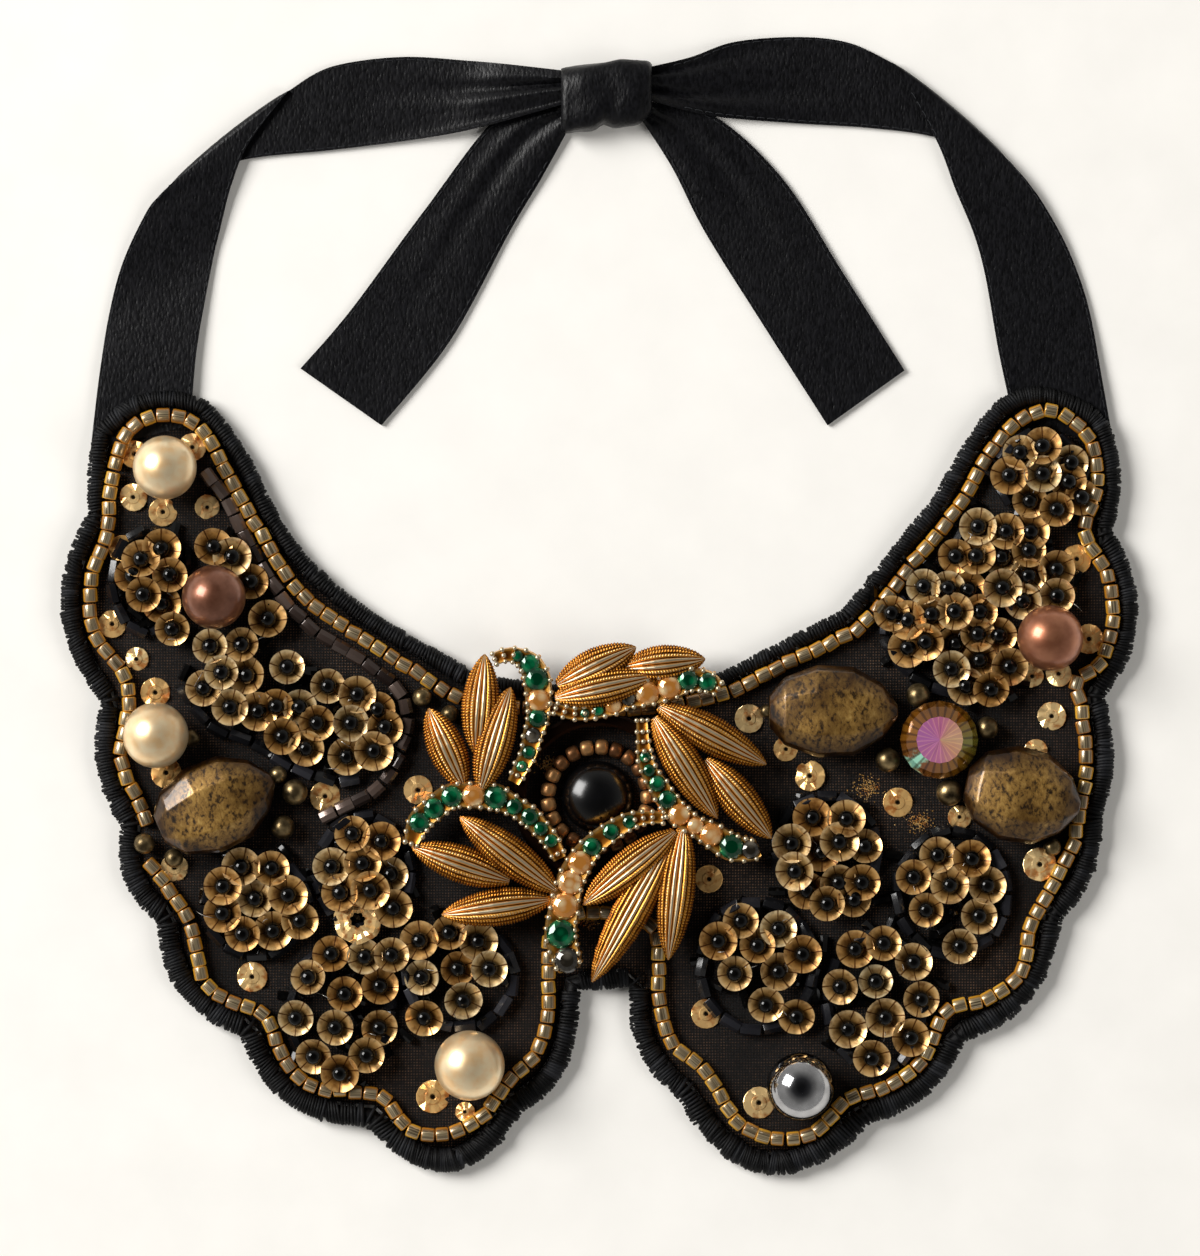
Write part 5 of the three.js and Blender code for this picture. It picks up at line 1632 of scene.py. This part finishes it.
# %% Knot
knot_rows = [
    (561, 100, 30, 0.8), (566, 100, 33, 0.93), (580, 99, 33, 0.99), (600, 96, 34, 1.0),
    (620, 94, 34, 1.0), (638, 92, 32, 0.98), (648, 90, 28, 0.9), (652, 88, 24, 0.78),
]
KNOT_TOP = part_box("ribbon_knot")[1][2]
KNOT_ROUND = 56
sections = []
for place, at in smooth_through([spot(x, y) for x, y, _, _ in knot_rows], 5):
    half = between([row[2] for row in knot_rows], at) * PIXEL
    tall = between([row[3] for row in knot_rows], at) * KNOT_TOP / 2
    u = at / (len(knot_rows) - 1)
    section = []
    for j in range(KNOT_ROUND):
        angle = 2 * math.pi * j / KNOT_ROUND
        c, s = math.cos(angle), math.sin(angle)
        flat = 1 / (abs(c) ** 3 + abs(s) ** 3) ** (1 / 3)
        pleat = math.sin(2 * math.pi * (3.5 * u + 0.25 * c)) * 0.02
        crease = -0.16 * math.exp(-(((u - 0.55 - 0.1 * c) / 0.05) ** 2)) * max(0, -c * 0.9 + 0.25)
        swell = 1 + pleat + crease + 0.02 * math.sin(5 * angle + 9 * u)
        section.append((place.x, place.y + half * c * flat * swell, tall + tall * s * flat * swell))
    sections.append(section)
knot = Heap("ribbon_knot_grained")
knot.put(loft(sections, inside_out=True))
knot_piece = knot.make([ribbon_skin], "black_ribbon", "ribbon_knot")

# %% [markdown]
# ## Ribbon stitching
# A line of small stitches runs 0.7 mm inside both edges of every strip. Each stitch is a short
# bent thread that dips into the ribbon at both ends. All take the thread's palest tone, a painted
# highlight along the hem.

# %% Stitches
STITCH = 1.7 * MM
STITCH_GAP = 0.5 * MM
STITCH_INSIDE = 0.7 * MM
stitch_path = [(0, -0.1), (0.2, 0.06), (0.8, 0.06), (1, -0.1)]
stitch_shape = bent_tube([Vector((STITCH * x, 0, z * MM)) for x, z in stitch_path], 0.13 * MM, 5)
lie_down = Matrix.Rotation(math.radians(-90), 4, "Y")
stitches = Heap("ribbon_stitches")


def sew(line):
    """Stitches along a line of places, on the ribbon's upper skin."""
    walked_far = 0.0
    for p, q in zip(line, line[1:]):
        stretch = (q - p).length
        while walked_far < stretch:
            place = p.lerp(q, walked_far / stretch)
            place.z += RIBBON / 2
            # Painted highlight: every stitch takes the thread's palest tone.
            stitches.put(stitch_shape, aimed(place, q - p) @ lie_down, tone=1.0)
            walked_far += STITCH + STITCH_GAP
        walked_far -= stretch


stretches = [strip_rows(chart, 8)[:-4] for chart in (strap_left, strap_right)]
stretches += [strip_rows(chart, 8)[6:-6]
              for chart in (band_left, band_right, tail_left_chart, tail_right_chart)]
for rows in stretches:
    sew([a + (b - a).normalized() * STITCH_INSIDE for a, b, _ in rows])
    sew([b + (a - b).normalized() * STITCH_INSIDE for a, b, _ in rows])
stitches.make([cotton], "black_thread")

# %% [markdown]
# ## Floor and light
# The table is plain off-white paper. One large soft light stands at the upper left, as the
# shadows say, with a weaker one opposite. The sky is bright all round but dark straight above,
# where the camera and its stand would be, so that flat black faces stay black.

# %% Stage
FLOOR_REACH = 3.0
FLOOR_HEIGHT = -0.2 * MM
LAMP_COLOUR = (1.0, 0.985, 0.965)
corners = [(-1, -1), (1, -1), (1, 1), (-1, 1)]
floor_mesh = bpy.data.meshes.new("studio_floor")
floor_mesh.from_pydata(
    [(x * FLOOR_REACH, y * FLOOR_REACH, FLOOR_HEIGHT) for x, y in corners], [], [(0, 1, 2, 3)]
)
paper, tree, shader = surface("matt_white_paper", Roughness=0.9, Specular_IOR_Level=0.2)
plug(shader, Base_Color=ramp(tree, clouded(tree, 60.0, 6.0), [(0.3, "#F6F4EF"), (0.7, "#FBF9F4")]))
floor_mesh.materials.append(paper)
placed("studio_floor", floor_mesh)


def soft_light(name, place, size, power):
    data = bpy.data.lights.new(name, "AREA")
    data.size = size
    data.energy = power
    data.color = LAMP_COLOUR
    lamp = placed(name, data)
    lamp.location = place
    lamp.rotation_euler = (-Vector(place)).to_track_quat("-Z", "Y").to_euler()
    return lamp


soft_light("window_light", (-1.75, 0.8, 1.55), 1.3, 76.0)
soft_light("fill_light", (1.4, -0.5, 1.4), 1.2, 11.0).visible_glossy = False
world = bpy.data.worlds.new("studio_sky")
world.use_nodes = True
sky = world.node_tree
direction = add_node(sky, "ShaderNodeTexCoord").outputs["Generated"]
height = add_node(sky, "ShaderNodeSeparateXYZ", {"Vector": direction}).outputs["Z"]
sky_stops = [(0.0, "#E8E6E2"), (0.5, "#D0CECA"), (0.86, "#48484A"), (1.0, "#1C1C1E")]
sky.links.new(ramp(sky, height, sky_stops), sky.nodes["Background"].inputs["Color"])
sky.nodes["Background"].inputs["Strength"].default_value = 0.5
bpy.context.scene.world = world
print("lights set")

# %% Sizes and finish
print("all the pieces have", Heap.added, "triangles")
